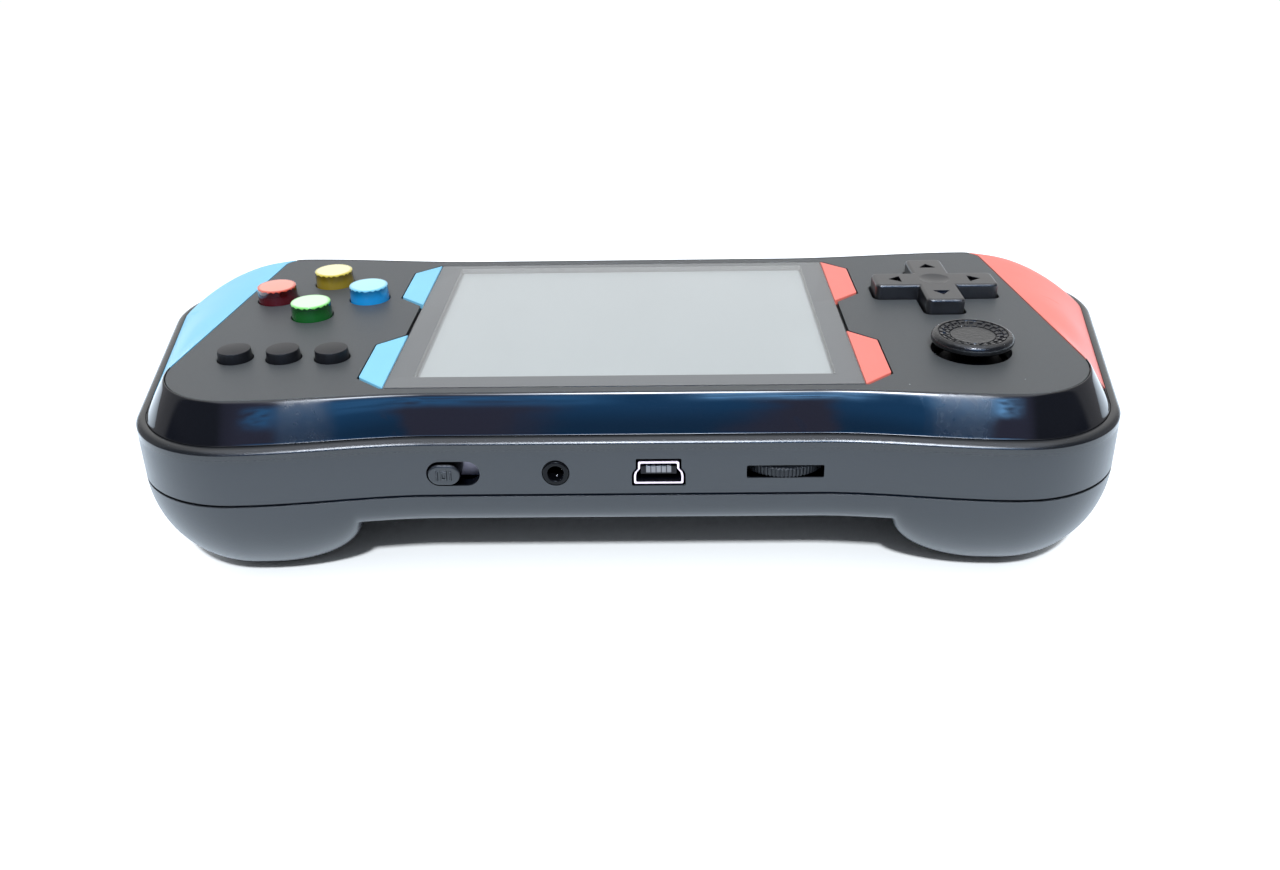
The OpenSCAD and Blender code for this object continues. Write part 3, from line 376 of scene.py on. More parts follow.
def moulded(name, colour, rough, grain=0.3, depth=0.006, dust=0.02, constants={}, within=None, inner=None,
            dead=False, rubbed_and_shaded=None):
    """Moulded plastic: an eroded grain in the bump, slow patches in colour and gloss, and a little dust.

    The grain is noise of its size in millimetres, the patches are noise of 14 mm that moves the colour by a
    tenth and the roughness by 0.05, and the dust is pale dots 0.2 mm across. Where within(place) is 1, the
    colour is inner, or inner(place), and dead takes the gloss away there: a metal's gloss has its colour,
    here black. The script uses these to paint shade into recesses, and a reflection onto one ledge. Where
    rubbed(place) is 1, hands have made the surface smoother by 0.14, and it is painted twice as dark as shade.
    """
    def varying(place):
        slow, fine = place.noise(14, 3.0), place.noise(grain, 2.0)
        speck = place.dots(2.6, 0.11, dust)
        body = slow.blend(tint(colour, 0.88), tint(colour, 1.12))
        gloss = rough - 0.05 + 0.1 * slow + 0.06 * (fine - 0.5) + 0.2 * speck
        # Rim: a smoother gloss from wear, and the colour halved as painted shade.
        if rubbed_and_shaded:
            worn_and_shaded = rubbed_and_shaded(place)
            body, gloss = worn_and_shaded.blend(body, tint(colour, 0.5)), gloss - 0.14 * worn_and_shaded
        values = {"Roughness": gloss, "Normal": fine.bump(depth)}
        # Within: colour painted in, as shade in recesses or as a reflection on one ledge; dead takes the gloss
        # away.
        if within:
            inside = within(place)
            body = inside.blend(body, inner(place) if callable(inner) else inner)
            values.update({"Metallic": inside} if dead else {})
        return {**values, "Base Color": speck.blend(body, (0.5, 0.52, 0.55, 1))}
    return finish(name, constants, varying)


def dress(piece, body, slot, material, *replaced):
    """Gives a piece its material, its body and the solids that it stands for, which it hides; slot is not used.
    """
    piece.data.materials.clear()
    piece.data.materials.append(material)
    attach(piece, body)
    if replaced:
        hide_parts(*replaced)


shell_tone = (0.02, 0.024, 0.03)
shell_black = moulded("satin_shell_plastic", shell_tone, 0.36, 0.35, 0.008)
dress(rear, "case", "shell_black", shell_black, "rear_shell")
dress(cups, "case", "shell_black", shell_black)

# Front shell
# The upper side wall with its rounded rim, moulded in the same satin plastic. It carries the seat
# for the sloped trim, and the switch, jack, data socket and volume wheel show through its near face.
seat_depth, deck_t, deck_w, slit_h, slit_depth, slit_edge = 0.85, 1.2, 7.0, 0.34, 1.1, 0.1
rim_w, rim_side, rim_rise, trim_gap, lip_drop = 2.4, 0.7, 0.25, 0.15, 0.05
z_seat = z_rim - seat_depth
z_deck = z_seat - deck_t
z_crest = z_rim + rim_rise
lean_h, lean, rim_round, rim_share, rim_turn = 7.5, 0.6, 0.66, 0.85, 0.16
turn_in, turn_up, crown_in, crown_from = 0.01, 0.65, 0.03, 40


def wall_plan(inset):
    """Outline of the case with its near and far sides alone moved in by inset."""
    aside = np.array([inset, 0])
    return plan(near_c + aside, near_r - inset, far_c + aside, far_r - inset, near_dip, far_dip)


def trim_plan(inset):
    """Outline of the outer edge of the sloped trim, moved in by inset."""
    aside = np.array([rim_side, 0])
    return plan(near_c + aside, near_r - rim_w - inset, far_c + aside, far_r - rim_w - inset, near_dip, far_dip)


def front_section():
    """Rings of the front shell: its section carried round the case outline.

    The wall stands on a slit, and its long sides lean in with the square of the height over the top lean_h. A
    tight turn, rim_turn high, leads to the rim's crown: an arc from crown_from degrees to level that rises by
    rim_round and takes rim_share of the way to the trim.
    """
    up = np.linspace(0, 1, 9)
    a = np.radians(np.linspace(crown_from, 90, 10))
    shoulder = z_crest - rim_round - rim_turn
    walls = [at(wall_plan(lean * t * t), shoulder - lean_h * (1 - t)) for t in up]
    edge, seam, z_slit = wall_plan(lean), trim_plan(-trim_gap), z_part + slit_h
    way = seam - edge
    across = crown_in + (rim_share - crown_in) * (1 - np.cos(a) / math.cos(a[0]))
    fall = rim_round * (1 - np.sin(a)) / (1 - math.sin(a[0]))
    top = [at(edge + way * turn_in, shoulder + turn_up * rim_turn)]
    top += [at(edge + way * c, z_crest - f) for c, f in zip(across, fall)]
    return np.stack([
        at(case_plan(slit_depth), z_part), at(case_plan(slit_depth), z_slit), at(case_plan(slit_edge), z_slit),
        at(case_plan(0), z_slit + slit_edge), *walls, *top, at(seam, z_crest - lip_drop), at(seam, z_seat),
        at(case_plan(deck_w), z_seat), at(case_plan(deck_w), z_deck), at(case_plan(wall), z_deck),
        at(case_plan(wall), z_part)])


def eased(corners, reach, steps=7, closed=True):
    """Line through corners, each eased by a parabola.

    It starts reach before the corner and ends reach after it: (1-t)^2 before + 2t(1-t) corner + t^2 after.
    """
    corners = np.asarray(corners, float)
    reach = np.broadcast_to(np.asarray(reach, float), len(corners))[:, None]
    ahead = np.roll(corners, -1, 0) - corners
    ahead = ahead / np.linalg.norm(ahead, axis=1, keepdims=True)
    t = np.linspace(0, 1, steps)[None, :, None]
    before, after = corners - np.roll(ahead, 1, 0) * reach, corners + ahead * reach
    line = (1 - t) ** 2 * before[:, None] + 2 * t * (1 - t) * corners[:, None] + t ** 2 * after[:, None]
    if not closed:
        line[0], line[-1] = corners[0], corners[-1]
    return line.reshape(-1, 2)


def oblong(low, high, ease=0.3):
    """Rectangle between two corners, with eased corners."""
    return eased([(low[0], low[1]), (high[0], low[1]), (high[0], high[1]), (low[0], high[1])], ease)


def laid(form, place=(0, 0, 0)):
    """An upright form laid down, so that its height runs along y, and moved to a place."""
    points, faces = form
    return points[:, [0, 2, 1]] + place, faces


y_face = near_dip - half_d
port_z = middle("usb_shell")[2]
switch_x, jack_x = middle("switch_body")[0], middle("av_jack")[0]
usb_x, wheel_x = middle("usb_shell")[0], middle("volume_wheel")[0]
usb_w, usb_h = size_of("usb_shell")[[0, 2]]
usb_corner, usb_bend, usb_step = 0.3, 0.12, 0.65


def usb_loop(grow):
    """Outline of the data socket: wide below, stepped in at both sides, narrow above."""
    w, n, h = usb_w / 2 + grow, usb_w / 2 - usb_step + grow, usb_h / 2 + grow
    half = [(w, -h), (w, -0.5), (w - 0.15, 0.1), (n, 0.7), (n, h)]
    corners = half + [(-x, z) for x, z in half[::-1]]
    return eased(corners, 2 * [usb_corner, usb_bend, usb_bend, usb_bend, usb_corner]) + [usb_x, port_z]


front = surface("front_shell_moulding", grid(front_section(), wrap_rows=True))
jack_r, jack_room, usb_room = 2.05, 0.1, 0.32
switch_slot, wheel_slot, wheel_port = (8.3, 4.1), np.array([11.9, 2.1]), np.array([wheel_x, port_z])
a = np.linspace(0, 2 * math.pi, 48, endpoint=False)
openings = [stadium(*switch_slot, [switch_x, port_z]),
            (jack_r + jack_room) * np.column_stack([np.cos(a), np.sin(a)]) + [jack_x, port_z],
            usb_loop(usb_room), oblong(wheel_port - wheel_slot / 2, wheel_port + wheel_slot / 2)]
cut(front, *[laid(prism(loop, -half_d - past, y_face + wall + past)) for loop in openings])
# The last two numbers bound the rim's wear and painted shade, in millimetres below the rim.
ports_half_w, ports_half_h, ports_behind, rub_and_shade_from, rub_and_shade_to = 45.0, 2.2, 0.3, 2.2, 0.8
# Painted shade: near black without gloss, for the insides of the openings and the knob's side.
painted_shade_black = (0.006, 0.006, 0.008, 1)


def in_openings(place):
    """1 on the walls of the openings in the near face, behind its surface, where black is painted as shade."""
    x, y, z = place.axes()
    inside = (y > (y_face + ports_behind) * MM) * (y < (y_face + 2 * wall) * MM)
    return inside * (abs(x) < ports_half_w * MM) * (z < (port_z + ports_half_h) * MM)


def rim_wear_and_shade(place):
    """1 on the rim, where hands rub the case and where shade is painted, fading out down the wall."""
    return ramp(place.axes()[2], (z_rim - rub_and_shade_from) * MM, (z_rim - rub_and_shade_to) * MM)


# The openings' walls are painted black as shade. The rim and the top of the wall are painted darker as shade,
# and are smoother from wear.
front_black = moulded("satin_shell_openings", shell_tone, 0.36, 0.35, 0.008, within=in_openings,
                      inner=painted_shade_black, dead=True, rubbed_and_shaded=rim_wear_and_shade)
dress(front, "case", "shell_black", front_black, "front_shell")

# Sloped trim
# Four glossy mouldings pressed into the shell's seat round the face plate: black bands along the
# near and far edges, a sky blue end on the left and a coral end on the right.
plate_near_r, plate_far_r, plate_near_dip, plate_far_dip = 13.0, 3.2, 2.3, 2.7
band_front, band_side, band_far, cap_w = 6.4, 5.3, 5.8, 18.4
flange_w, flange_t, plate_t = 1.8, 2.0, 2.0
z_top, z_face = extent("bezel_near")[1][2], extent("face_plate")[1][2]
z_plate = z_face - plate_t
plate_near_c = np.array([half_w - flare - band_side - plate_near_r, band_front + plate_near_r - half_d])
plate_far_c = np.array([half_w - cap_w - plate_far_r, half_d - band_far - plate_far_r])
joint_in = np.array([plate_near_c[0] + plate_near_r - 0.5, -20.5])
joint_out = np.array([half_w - flare, -19.3])
far_in, far_turn = plate_far_c - [0, 0.5], math.radians(62)
foot_gap, bulge, top_round, foot_round, crown_power = 0.02, 0.24, 0.055, 0.018, 2.6
trim_drop = z_top - z_crest - foot_gap


def plate_plan(inset):
    """Outline of the face plate, moved in by inset."""
    return plan(plate_near_c, plate_near_r - inset, plate_far_c, plate_far_r - inset,
                plate_near_dip, plate_far_dip)


def trim_rings():
    """Rings of the whole trim, from the face plate's edge down the slope to the rim and back underneath.

    At share s of the run the slope has dropped by trim_drop * (s - bulge s (1 - s)) on the narrow bands, which
    bulge a little, and by trim_drop * s^crown_power on the wide ends, which are crowned; a smoothstep of the
    run's width goes from one to the other. An exponential of top_round levels the band out at its top edge and
    one of foot_round at its foot.
    """
    inner, outer = plate_plan(0), trim_plan(0)
    run = np.linalg.norm(outer - inner, axis=1)
    crown = smoothstep((run - band_far) / (cap_w - band_far - rim_w))
    share = 0.5 - 0.5 * np.cos(np.linspace(0, math.pi, 61))[:, None]
    band = share - bulge * share * (1 - share)
    band = band - top_round * (1 - np.exp(-share / top_round)) - foot_round * np.exp((share - 1) / foot_round)
    band = band / (1 - top_round - foot_round)
    drop = band * (1 - crown) + share ** crown_power * crown
    slope = np.dstack([inner + (outer - inner) * share[:, :, None], z_top - trim_drop * drop])
    under = [at(outer, z_seat), at(trim_plan(wall), z_seat), at(plate_plan(flange_w), z_plate - flange_t),
             at(plate_plan(flange_w), z_plate), at(inner, z_plate)]
    return np.concatenate([slope, np.stack(under)])


rings = trim_rings()
ring_n = rings.shape[1]


def crossing(point, direction, side, start):
    """Where each ring, from column start on, first crosses a line moved sideways: column with fraction."""
    out = rings[:, start:ring_n // 2, :2] - point
    across = direction[0] * out[..., 1] - direction[1] * out[..., 0] - side
    i = np.argmax(across >= 0, axis=1)
    rows = np.arange(len(rings))
    before, after = across[rows, i - 1], across[rows, i]
    return start + i - 1 + before / (before - after)


def trim_length(name, first, last, columns):
    """One length of the trim: every ring between two columns, closed by a flat face at each end."""
    t = np.linspace(0, 1, columns)
    place = first[:, None] + (last - first)[:, None] * t
    i = np.floor(place).astype(int)
    part = (place - i)[..., None]
    rows = np.arange(len(rings))[:, None]
    points = rings[rows, i % ring_n] * (1 - part) + rings[rows, (i + 1) % ring_n] * part
    points, faces = grid(points, wrap_rows=True, wrap_columns=False)
    ends = np.arange(len(rings)) * columns
    return surface(name, (points, faces + [ends.tolist(), (ends + columns - 1).tolist()]))


joint_way = (joint_out - joint_in) / np.linalg.norm(joint_out - joint_in)
far_way = np.array([math.cos(far_turn), math.sin(far_turn)])
gap_sides = (-trim_gap / 2, trim_gap / 2)
near_low, near_high = [crossing(joint_in, joint_way, side, near_k - 8) for side in gap_sides]
far_low, far_high = [crossing(far_in, far_way, side, near_k) for side in gap_sides]
band_near = trim_length("gloss_band_near", -near_low, near_low, 260)
band_far_piece = trim_length("gloss_band_far", far_high, ring_n - far_high, 220)
end_red = trim_length("coral_end", near_high, far_low, 100)
end_blue = trim_length("sky_blue_end", ring_n - far_low, ring_n - near_high, 100)


def polished(name, colour, rough, smear, dust, constants={}, smudges=()):
    """Polished plastic: fine moulding waves, handling smears in the gloss, hairline scratches and dust.

    The smears are noise of 9 mm raised to the third power, so they come in patches. The scratches are thin
    bands of a wave bent by noise, kept where a second noise is high. Each smudge, a finger mark given by its
    middle, reach and share of greyish film, fades with the distance in plan and is broken up by finer noise.
    """
    def varying(place):
        patch = place.noise(9, 4.0) ** 3.0
        body = place.noise(20).blend(tint(colour, 0.92), tint(colour, 1.08))
        x, y = place.axes()[:2]
        for mid_x, mid_y, reach, film in smudges:
            away = ((x - mid_x * MM) ** 2.0 + (y - mid_y * MM) ** 2.0) ** 0.5
            mark = ramp(away, reach * MM, 0.45 * reach * MM) * (0.4 + 1.2 * place.noise(1.5, 4.0))
            patch, body = patch + mark, (film * mark).blend(body, (0.045, 0.055, 0.065, 1))
        hair = place.node("ShaderNodeTexWave", {"bands_direction": "DIAGONAL"},
                          {"Vector": place, "Scale": 0.03 / MM, "Distortion": 18.0, "Detail": 2.0}, 1)
        line = (hair > 0.985) * (place.noise(6) > 0.62)
        speck = place.dots(3.4, 0.12, dust)
        return {"Base Color": speck.blend(body, (0.55, 0.58, 0.6, 1)),
                "Roughness": rough + smear * patch + 0.08 * line + 0.3 * speck,
                "Normal": place.noise(5, 1.0).bump(0.02, 0.6)}
    return finish(name, constants, varying)


gloss_black = polished("gloss_black_plastic", (0.004, 0.005, 0.008), 0.04, 0.2, 0.07,
                       smudges=((51.6, -35.0, 6.3, 0.2), (-49.0, -35.6, 6.0, 0.15)))
blue_gloss = polished("sky_blue_plastic", (0.25, 0.67, 0.96), 0.36, 0.1, 0.01, {"Specular IOR Level": 0.32})
red_gloss = polished("coral_plastic", (0.95, 0.23, 0.19), 0.36, 0.1, 0.01, {"Specular IOR Level": 0.32})
dress(band_near, "case", "gloss_black", gloss_black, "bezel_near")
dress(band_far_piece, "case", "gloss_black", gloss_black, "bezel_far")
dress(end_blue, "case", "blue_plastic", blue_gloss, "end_cap_blue")
dress(end_red, "case", "red_plastic", red_gloss, "end_cap_red")

# Face plate
# One matte black moulding that closes the case on top, with a pocket for the lens and the ears, the
# display's window, and a hole for each control. Six bosses under it take the case screws.
lens_low, lens_high = extent("screen_lens")
lcd_top = extent("lcd_panel")[1][2]
side_gap, ear_gap, near_gap, ear_w, ear_l, ear_cut = 0.6, 0.36, 0.03, 4.6, 22.0, 4.3
window = np.array([67.3, 50.5]) / 2
window_low = middle("lcd_panel")[:2] - window - [0, 2.3]
window_high = middle("lcd_panel")[:2] + window


def ear_points(y, aside=0.0, grow=0.0, before=0.0):
    """Right outline of an ear from y on, grown by gaps: out at a slant, along, and back in at a slant."""
    x, out = lens_high[0] + aside, lens_high[0] + ear_w + grow
    return [(x, y - before), (out, y + ear_cut - grow),
            (out, y + ear_l - ear_cut + grow), (x, y + ear_l + grow)]


def sheet(name, loops, low, high, bevel):
    """A flat sheet with holes: closed loops filled between two heights, with a small bevel on each edge."""
    curve = bpy.data.curves.new(name, "CURVE")
    curve.dimensions, curve.fill_mode = "2D", "BOTH"
    curve.extrude, curve.bevel_depth = ((high - low) / 2 - bevel) * MM, bevel * MM
    curve.offset, curve.bevel_resolution = -bevel * MM, 1
    for loop in loops:
        line = curve.splines.new("POLY")
        line.points.add(len(loop) - 1)
        places = np.column_stack([np.asarray(loop) * MM, np.zeros(len(loop)), np.ones(len(loop))])
        line.points.foreach_set("co", places.ravel().astype(np.float32))
        line.use_cyclic_u = True
    flat = placed(name, curve)
    mesh = bpy.data.meshes.new_from_object(flat.evaluated_get(bpy.context.evaluated_depsgraph_get()))
    bpy.data.objects.remove(flat)
    mesh.transform(Matrix.Translation((0, 0, (low + high) / 2 * MM)))
    smooth_mesh(mesh, 20)
    return placed(name, mesh)


def ring(radius, centre, steps=64):
    """Circle, run clockwise so that a sheet takes it as a hole."""
    a = np.linspace(2 * math.pi, 0, steps, endpoint=False)
    return radius * np.column_stack([np.cos(a), np.sin(a)]) + centre


def cross_loop(length, width, outer, inner, subdivide=1):
    """Outline of a cross with eased outer and inner corners; subdivide adds points along its straights."""
    l, w = length / 2, width / 2
    quarter = np.array([(l, -w), (l, w), (w, w)])
    turns = [np.array([[0, 1], [-1, 0]]), -np.eye(2), np.array([[0, -1], [1, 0]])]
    corners = np.vstack([quarter] + [quarter @ turn for turn in turns])
    line = eased(corners, np.tile([outer, outer, inner], 4)).reshape(12, -1, 2)
    t = np.arange(1, subdivide)[None, :, None] / subdivide
    straight = line[:, -1:] + (np.roll(line[:, :1], -1, 0) - line[:, -1:]) * t
    return np.concatenate([line, straight], 1).reshape(-1, 2)


buttons = {colour: middle("button_" + colour)[:2] for colour in ("yellow", "red", "green", "blue")}
keys = {place: middle("key_" + place)[:2] for place in ("left", "middle", "right")}
pad_c, stick_c = middle("d_pad")[:2], middle("stick_cap")[:2]
pad_low, pad_high = extent("d_pad")
collar_w, draft, button_gap, pad_gap = 0.9, 0.35, 0.16, 0.4
button_r, key_r = [size_of(node)[0] / 2 - collar_w - draft for node in ("button_red", "key_left")]
pad_l = size_of("d_pad")[0] - 2 * collar_w
pad_w, pad_r, stick_hole_r = 0.305 * pad_l, 1.2, 6.5

holes = [ring(button_r + draft + button_gap, spot) for spot in buttons.values()]
holes += [ring(key_r + draft + button_gap, spot, 48) for spot in keys.values()]
holes += [ring(stick_hole_r, stick_c, 96)]
holes += [(cross_loop(pad_l + 2 * pad_gap, pad_w + 2 * pad_gap, pad_r + pad_gap, 0.3) + pad_c)[::-1]]
holes += [oblong(window_low, window_high)[::-1]]
plate = sheet("face_plate_moulding", [plate_plan(trim_gap)] + holes, z_plate, z_face, 0.12)
pocket = ear_points(lens_low[1], side_gap, ear_gap, near_gap)
pocket += ear_points(lens_high[1] - ear_l, side_gap, ear_gap, ear_gap)
pocket = np.array(pocket + [(-x, y) for x, y in pocket[::-1]])
cut(plate, prism(pocket, lens_low[2], lens_high[2] + past), angle=20)
boss_bore = 0.85
bosses = surface("face_plate_bosses", *[
    turned([(boss_bore, z_joint), (boss_r, z_joint), (boss_r, z_plate), (boss_bore, z_plate)],
           spot, closed=True)
    for spot in screw_spots])


def in_pocket(place):
    """1 on the walls and floor of the pocket, below the plate's surface."""
    x, _, z = place.axes()
    return (abs(x) < (lens_high[0] + ear_w + 1) * MM) * (z < (z_face - 0.1) * MM)


def pocket_shade_and_reflection(place):
    """Painted shade, black, in the gap round the lens; a painted reflection, greyer, on the ledge under it."""
    ledge = abs(place.axes()[0]) < lens_high[0] * MM
    return ledge.blend((0.004, 0.004, 0.005, 1), (0.165, 0.174, 0.185, 1))


# In the pocket the plate's colour is painted: shade in the gap round the lens, a reflection on the ledge under
# it.
plate_black = moulded("matte_face_plastic", (0.062, 0.068, 0.072), 0.48, 0.22, 0.008, 0.06,
                      within=in_pocket, inner=pocket_shade_and_reflection)
dress(plate, "case", "plate_black", plate_black, "face_plate")
dress(bosses, "case", "plate_black", plate_black)

# Screen
# A clear acrylic lens stuck into the pocket with a coloured plastic ear at each corner, over a
# display module that sits in a folded metal tray.
lens_proud, ear_proud = 0.08, 0.14
lens = sheet("lens_acrylic", [oblong(lens_low, lens_high)], lens_low[2], z_face + lens_proud, 0.1)
lens_clear = finish(
    "clear_acrylic", {"Base Color": (0.95, 0.97, 0.98, 1), "IOR": 1.52, "Transmission Weight": 1.0},
    lambda place: {"Roughness": 0.01 + 0.05 * place.noise(11, 3.0) ** 3.0 + 0.4 * place.dots(4.0, 0.1, 0.06),
                   "Normal": place.noise(30, 1.0).bump(0.01)})
dress(lens, "case", "lens_clear", lens_clear, "screen_lens")
lens.visible_shadow = lens.visible_diffuse = False


def ears(name, side):
    """The two ears of one side, side -1 for the left."""
    loops = [np.array(ear_points(y)) for y in (lens_low[1], lens_high[1] - ear_l)]
    loops = [eased(loop + [0.1, 0], 0.25) for loop in loops]
    if side < 0:
        loops = [(loop * [-1, 1])[::-1] for loop in loops]
    return sheet(name, loops, lens_low[2], z_face + ear_proud, 0.12)


dress(ears("sky_blue_ears", -1), "case", "blue_plastic", blue_gloss, "ears_blue")
dress(ears("coral_ears", 1), "case", "red_plastic", red_gloss, "ears_red")


def coat(node, material):
    """Puts a material on one of the frame's own solids."""
    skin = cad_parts[node].data.materials
    skin.clear()
    skin.append(material)


def display_values(place):
    """Display glass: a pale polariser with a faint haze over the picture, a darker margin round it."""
    picture = place.axes()[2] > (lcd_top - 0.05) * MM
    haze = place.noise(18, 2.0)
    pale = haze.blend((0.38, 0.42, 0.43, 1), (0.44, 0.48, 0.49, 1))
    return {"Base Color": picture.blend((0.24, 0.26, 0.275, 1), pale),
            "Roughness": 0.3 + 0.08 * haze}


tray_top = extent("lcd_tray")[1][2]
glass = sheet("display_glass", [oblong(window_low - 1.0, window_high + 0.9)],
              tray_top + 0.1, z_plate - 0.1, 0.1)
polariser = sheet("display_polariser_sheet", [oblong(window_low + 0.5, window_high - 0.35)],
                  z_plate - 0.15, lcd_top, 0.05)
display_grey = finish("display_polariser", {}, display_values)
dress(glass, "case", "display", display_grey, "lcd_panel")
dress(polariser, "case", "display", display_grey)


def brushed(name, colour, rough):
    """Bare metal: mottled by noise of 3 mm, with a finer grain in its roughness and its bump."""
    return finish(name, {"Metallic": 1.0}, lambda place: {
        "Base Color": place.noise(3, 3.0).blend(tint(colour, 0.85), tint(colour, 1.1)),
        "Roughness": rough + 0.15 * place.noise(0.8, 3.0), "Normal": place.noise(0.25, 2.0).bump(0.004)})


coat("lcd_tray", brushed("folded_tray_metal", (0.56, 0.57, 0.58), 0.25))

# Colour buttons
# Four push buttons turned in acrylic with a tint, frosted on top, with light and shade painted into their
# colour: pale on top, darker down the side. A collar under the face plate holds each one over its rubber dome.
z_collar, z_plunger, collar_t = z_plate - 0.3, extent("button_red")[0][2], 1.0
side_draft, plunger_in = 0.1, 1.25


def push_button(name, spot, r, top, edge, crown, steps=96):
    """A button turned round its axis: plunger, collar, drafted side, eased edge and a slightly domed top."""
    foot, stem, z_under = r + side_draft, r - plunger_in, z_collar - collar_t
    t = np.linspace(1, 0, 9)[1:, None]
    cap = np.hstack([(r - edge) * t, top - crown * t ** 2])
    side = eased([(foot, z_top), (r, top - crown), (r - edge, top - crown)], [0, edge, 0], 9, False)
    profile = np.vstack([[(0, z_plunger), (stem, z_plunger), (stem, z_under), (foot + collar_w, z_under),
                          (foot + collar_w, z_collar), (foot, z_collar)], side, cap])
    return surface(name, turned(profile, spot, steps))


def acrylic_with_painted_light(name, deep, strong, pale, spot, r, top):
    """Acrylic with a tint, with light and shade painted into its colour: darkest up the side, strong at the top
    edge, pale on the top.

    The top's colour goes by the distance from the axis, pale in the middle as a painted highlight. The side's
    goes by the height as painted shade, lighter towards its foot as a painted glow. The edge between them, a
    painted reflection, swings with the angle round the button; the noise adds faint flow marks. The top's
    roughness makes it frosted.
    """
    def varying(place):
        x, y, z = place.axes()
        x, y = (x - spot[0] * MM) / (r * MM), (y - spot[1] * MM) / (r * MM)
        around = place.math("ARCTAN2", y, x)
        # The wavy edge between top and side is a painted reflection.
        reflection_wave = place.math("SINE", around * 19.0 + 9.0 * place.noise(2), 0.0)
        below = (z - top * MM) / MM
        height = ramp(below + 0.09 * reflection_wave, -0.42, -0.26)
        out = place.math("SQRT", x * x + y * y, 0.0)
        face = ramp(out + 0.16 * (place.noise(2.5) - 0.5), 1.0, 0.82)
        body = ramp(below + 0.8 * (place.noise(2.5) - 0.5), -0.3, -2.2)
        body = body.blend(tint(deep, 0.6), tint(deep, 1.5))
        cap = face.blend((*strong, 1), (*pale, 1))
        return {"Base Color": height.blend(body, cap),
                "Roughness": 0.06 + 0.16 * height * face + 0.06 * place.noise(1.5, 3.0) ** 2.0,
                "Normal": place.noise(1.2, 2.0).bump(0.015)}
    return finish(name, {"Coat Weight": 0.5, "Coat Roughness": 0.03}, varying)


# For each colour: the side's colour, darkened as painted shade; the top edge's colour; the top's colour, paled
# as painted light.
action_tints_lit_and_shaded = {
    "yellow": ((0.19, 0.14, 0.012), (0.75, 0.62, 0.09), (0.94, 0.91, 0.54)),
    "red": ((0.055, 0.002, 0.006), (0.7, 0.1, 0.06), (0.93, 0.36, 0.27)),
    "green": ((0.003, 0.075, 0.01), (0.25, 0.8, 0.2), (0.74, 0.97, 0.72)),
    "blue": ((0.006, 0.21, 0.53), (0.2, 0.65, 0.93), (0.44, 0.88, 0.97))}
button_top = extent("button_red")[1][2]
for colour, (deep, strong, pale) in action_tints_lit_and_shaded.items():
    shape = (buttons[colour], button_r + draft - side_draft, button_top)
    cap = push_button(colour + "_button_cap", *shape, 0.2, 0.08)
    acrylic = acrylic_with_painted_light(colour + "_acrylic", deep, strong, pale, *shape)
    dress(cap, colour + "_button", colour + "_clear", acrylic, "button_" + colour)

# Keys
# Three small domed keys moulded in black plastic, held by a collar over their rubber domes like the
# colour buttons.
key_top = extent("key_left")[1][2]
key_black = moulded("key_plastic", (0.008, 0.009, 0.012), 0.36, 0.25, 0.004, 0.03, {"Specular IOR Level": 0.3})
for place, spot in keys.items():
    cap = push_button(place + "_key_cap", spot, key_r + draft - side_draft, key_top, 0.16, 0.12, 72)
    dress(cap, place + "_key", "key_black", key_black, "key_" + place)

# Cross pad
# A rocking cross moulded in black plastic with rounded edges, a hollow in the middle for the thumb
# and an arrow sunk into each arm. It rocks on a ball over four rubber domes.
pad_top, z_pad, pad_edge, foot_r, foot_in = pad_high[2], z_plate - 2.0, 0.6, 1.0, 0.3
dish_r, dish_depth = 9.5, 0.4
arrow_w, arrow_l, arrow_depth = 3.1, 2.1, 0.5
pad_arm = pad_l / 2 - 3


def pad_height(x, y):
    """Height of the pad's top: flat, less a spherical hollow in the middle and four sunk triangles."""
    hollow = dish_r - dish_depth - np.sqrt(np.clip(dish_r ** 2 - x ** 2 - y ** 2, 0, None))
    sunk = np.zeros_like(x)
    for along, across in ((x, y), (-x, y), (y, x), (-y, x)):
        start = pad_arm + 0.2 - arrow_l
        half = arrow_w / 2 * (1 - (along - start) / arrow_l)
        inside = np.minimum(along - start, half - np.abs(across))
        sunk = np.maximum(sunk, smoothstep(inside / 0.16))
    return pad_top + np.minimum(hollow, 0) - arrow_depth * sunk


def pad_form():
    """Rings of the cross: collar, side, rounded edge, then the outline shrunk to the middle of the top."""
    loop = lambda inset: cross_loop(pad_l - 2 * inset, pad_w - 2 * inset, max(pad_r - inset, 0.25), 0.3, 20)
    a = np.linspace(0, math.pi / 2, 8)
    rows = [at(loop(-collar_w) * s, z_pad) for s in (0, 0.5, 1)]
    rows += [at(loop(-collar_w), z_pad + 1), at(loop(0), z_pad + 1)]
    rows += [at(loop(pad_edge * (1 - math.cos(t))), pad_top - pad_edge * (1 - math.sin(t))) for t in a]
    shrunk = [loop(pad_edge) * s for s in np.linspace(1, 0, 84)[1:]]
    rows += [at(inner, pad_height(*inner.T)) for inner in shrunk]
    return grid(np.stack(rows) + [*pad_c, 0])


pad = surface("cross_pad_cap", pad_form())
feet = surface("cross_pad_feet", *[
    turned([(0, pad_low[2]), (foot_r, pad_low[2]), (foot_r, z_pad + foot_in), (0, z_pad + foot_in)],
           pad_c + pad_arm * np.array(way), 24) for way in ((1, 0), (0, 1), (-1, 0), (0, -1))])


def in_arrows(place):
    """1 in the arrows' pits, whose place goes by the larger and the smaller distance from the pad's axes;
    painted shade goes there.
    """
    x, y, z = place.axes()
    x, y = [abs(v - c * MM) for v, c in zip((x, y), pad_c)]
    along, across = place.math("MAXIMUM", x, y), place.math("MINIMUM", x, y)
    inside = (along > (pad_arm - arrow_l) * MM) * (along < (pad_arm + 0.4) * MM)
    return inside * (across < arrow_w * 0.55 * MM) * (z < (pad_top - 0.06) * MM)


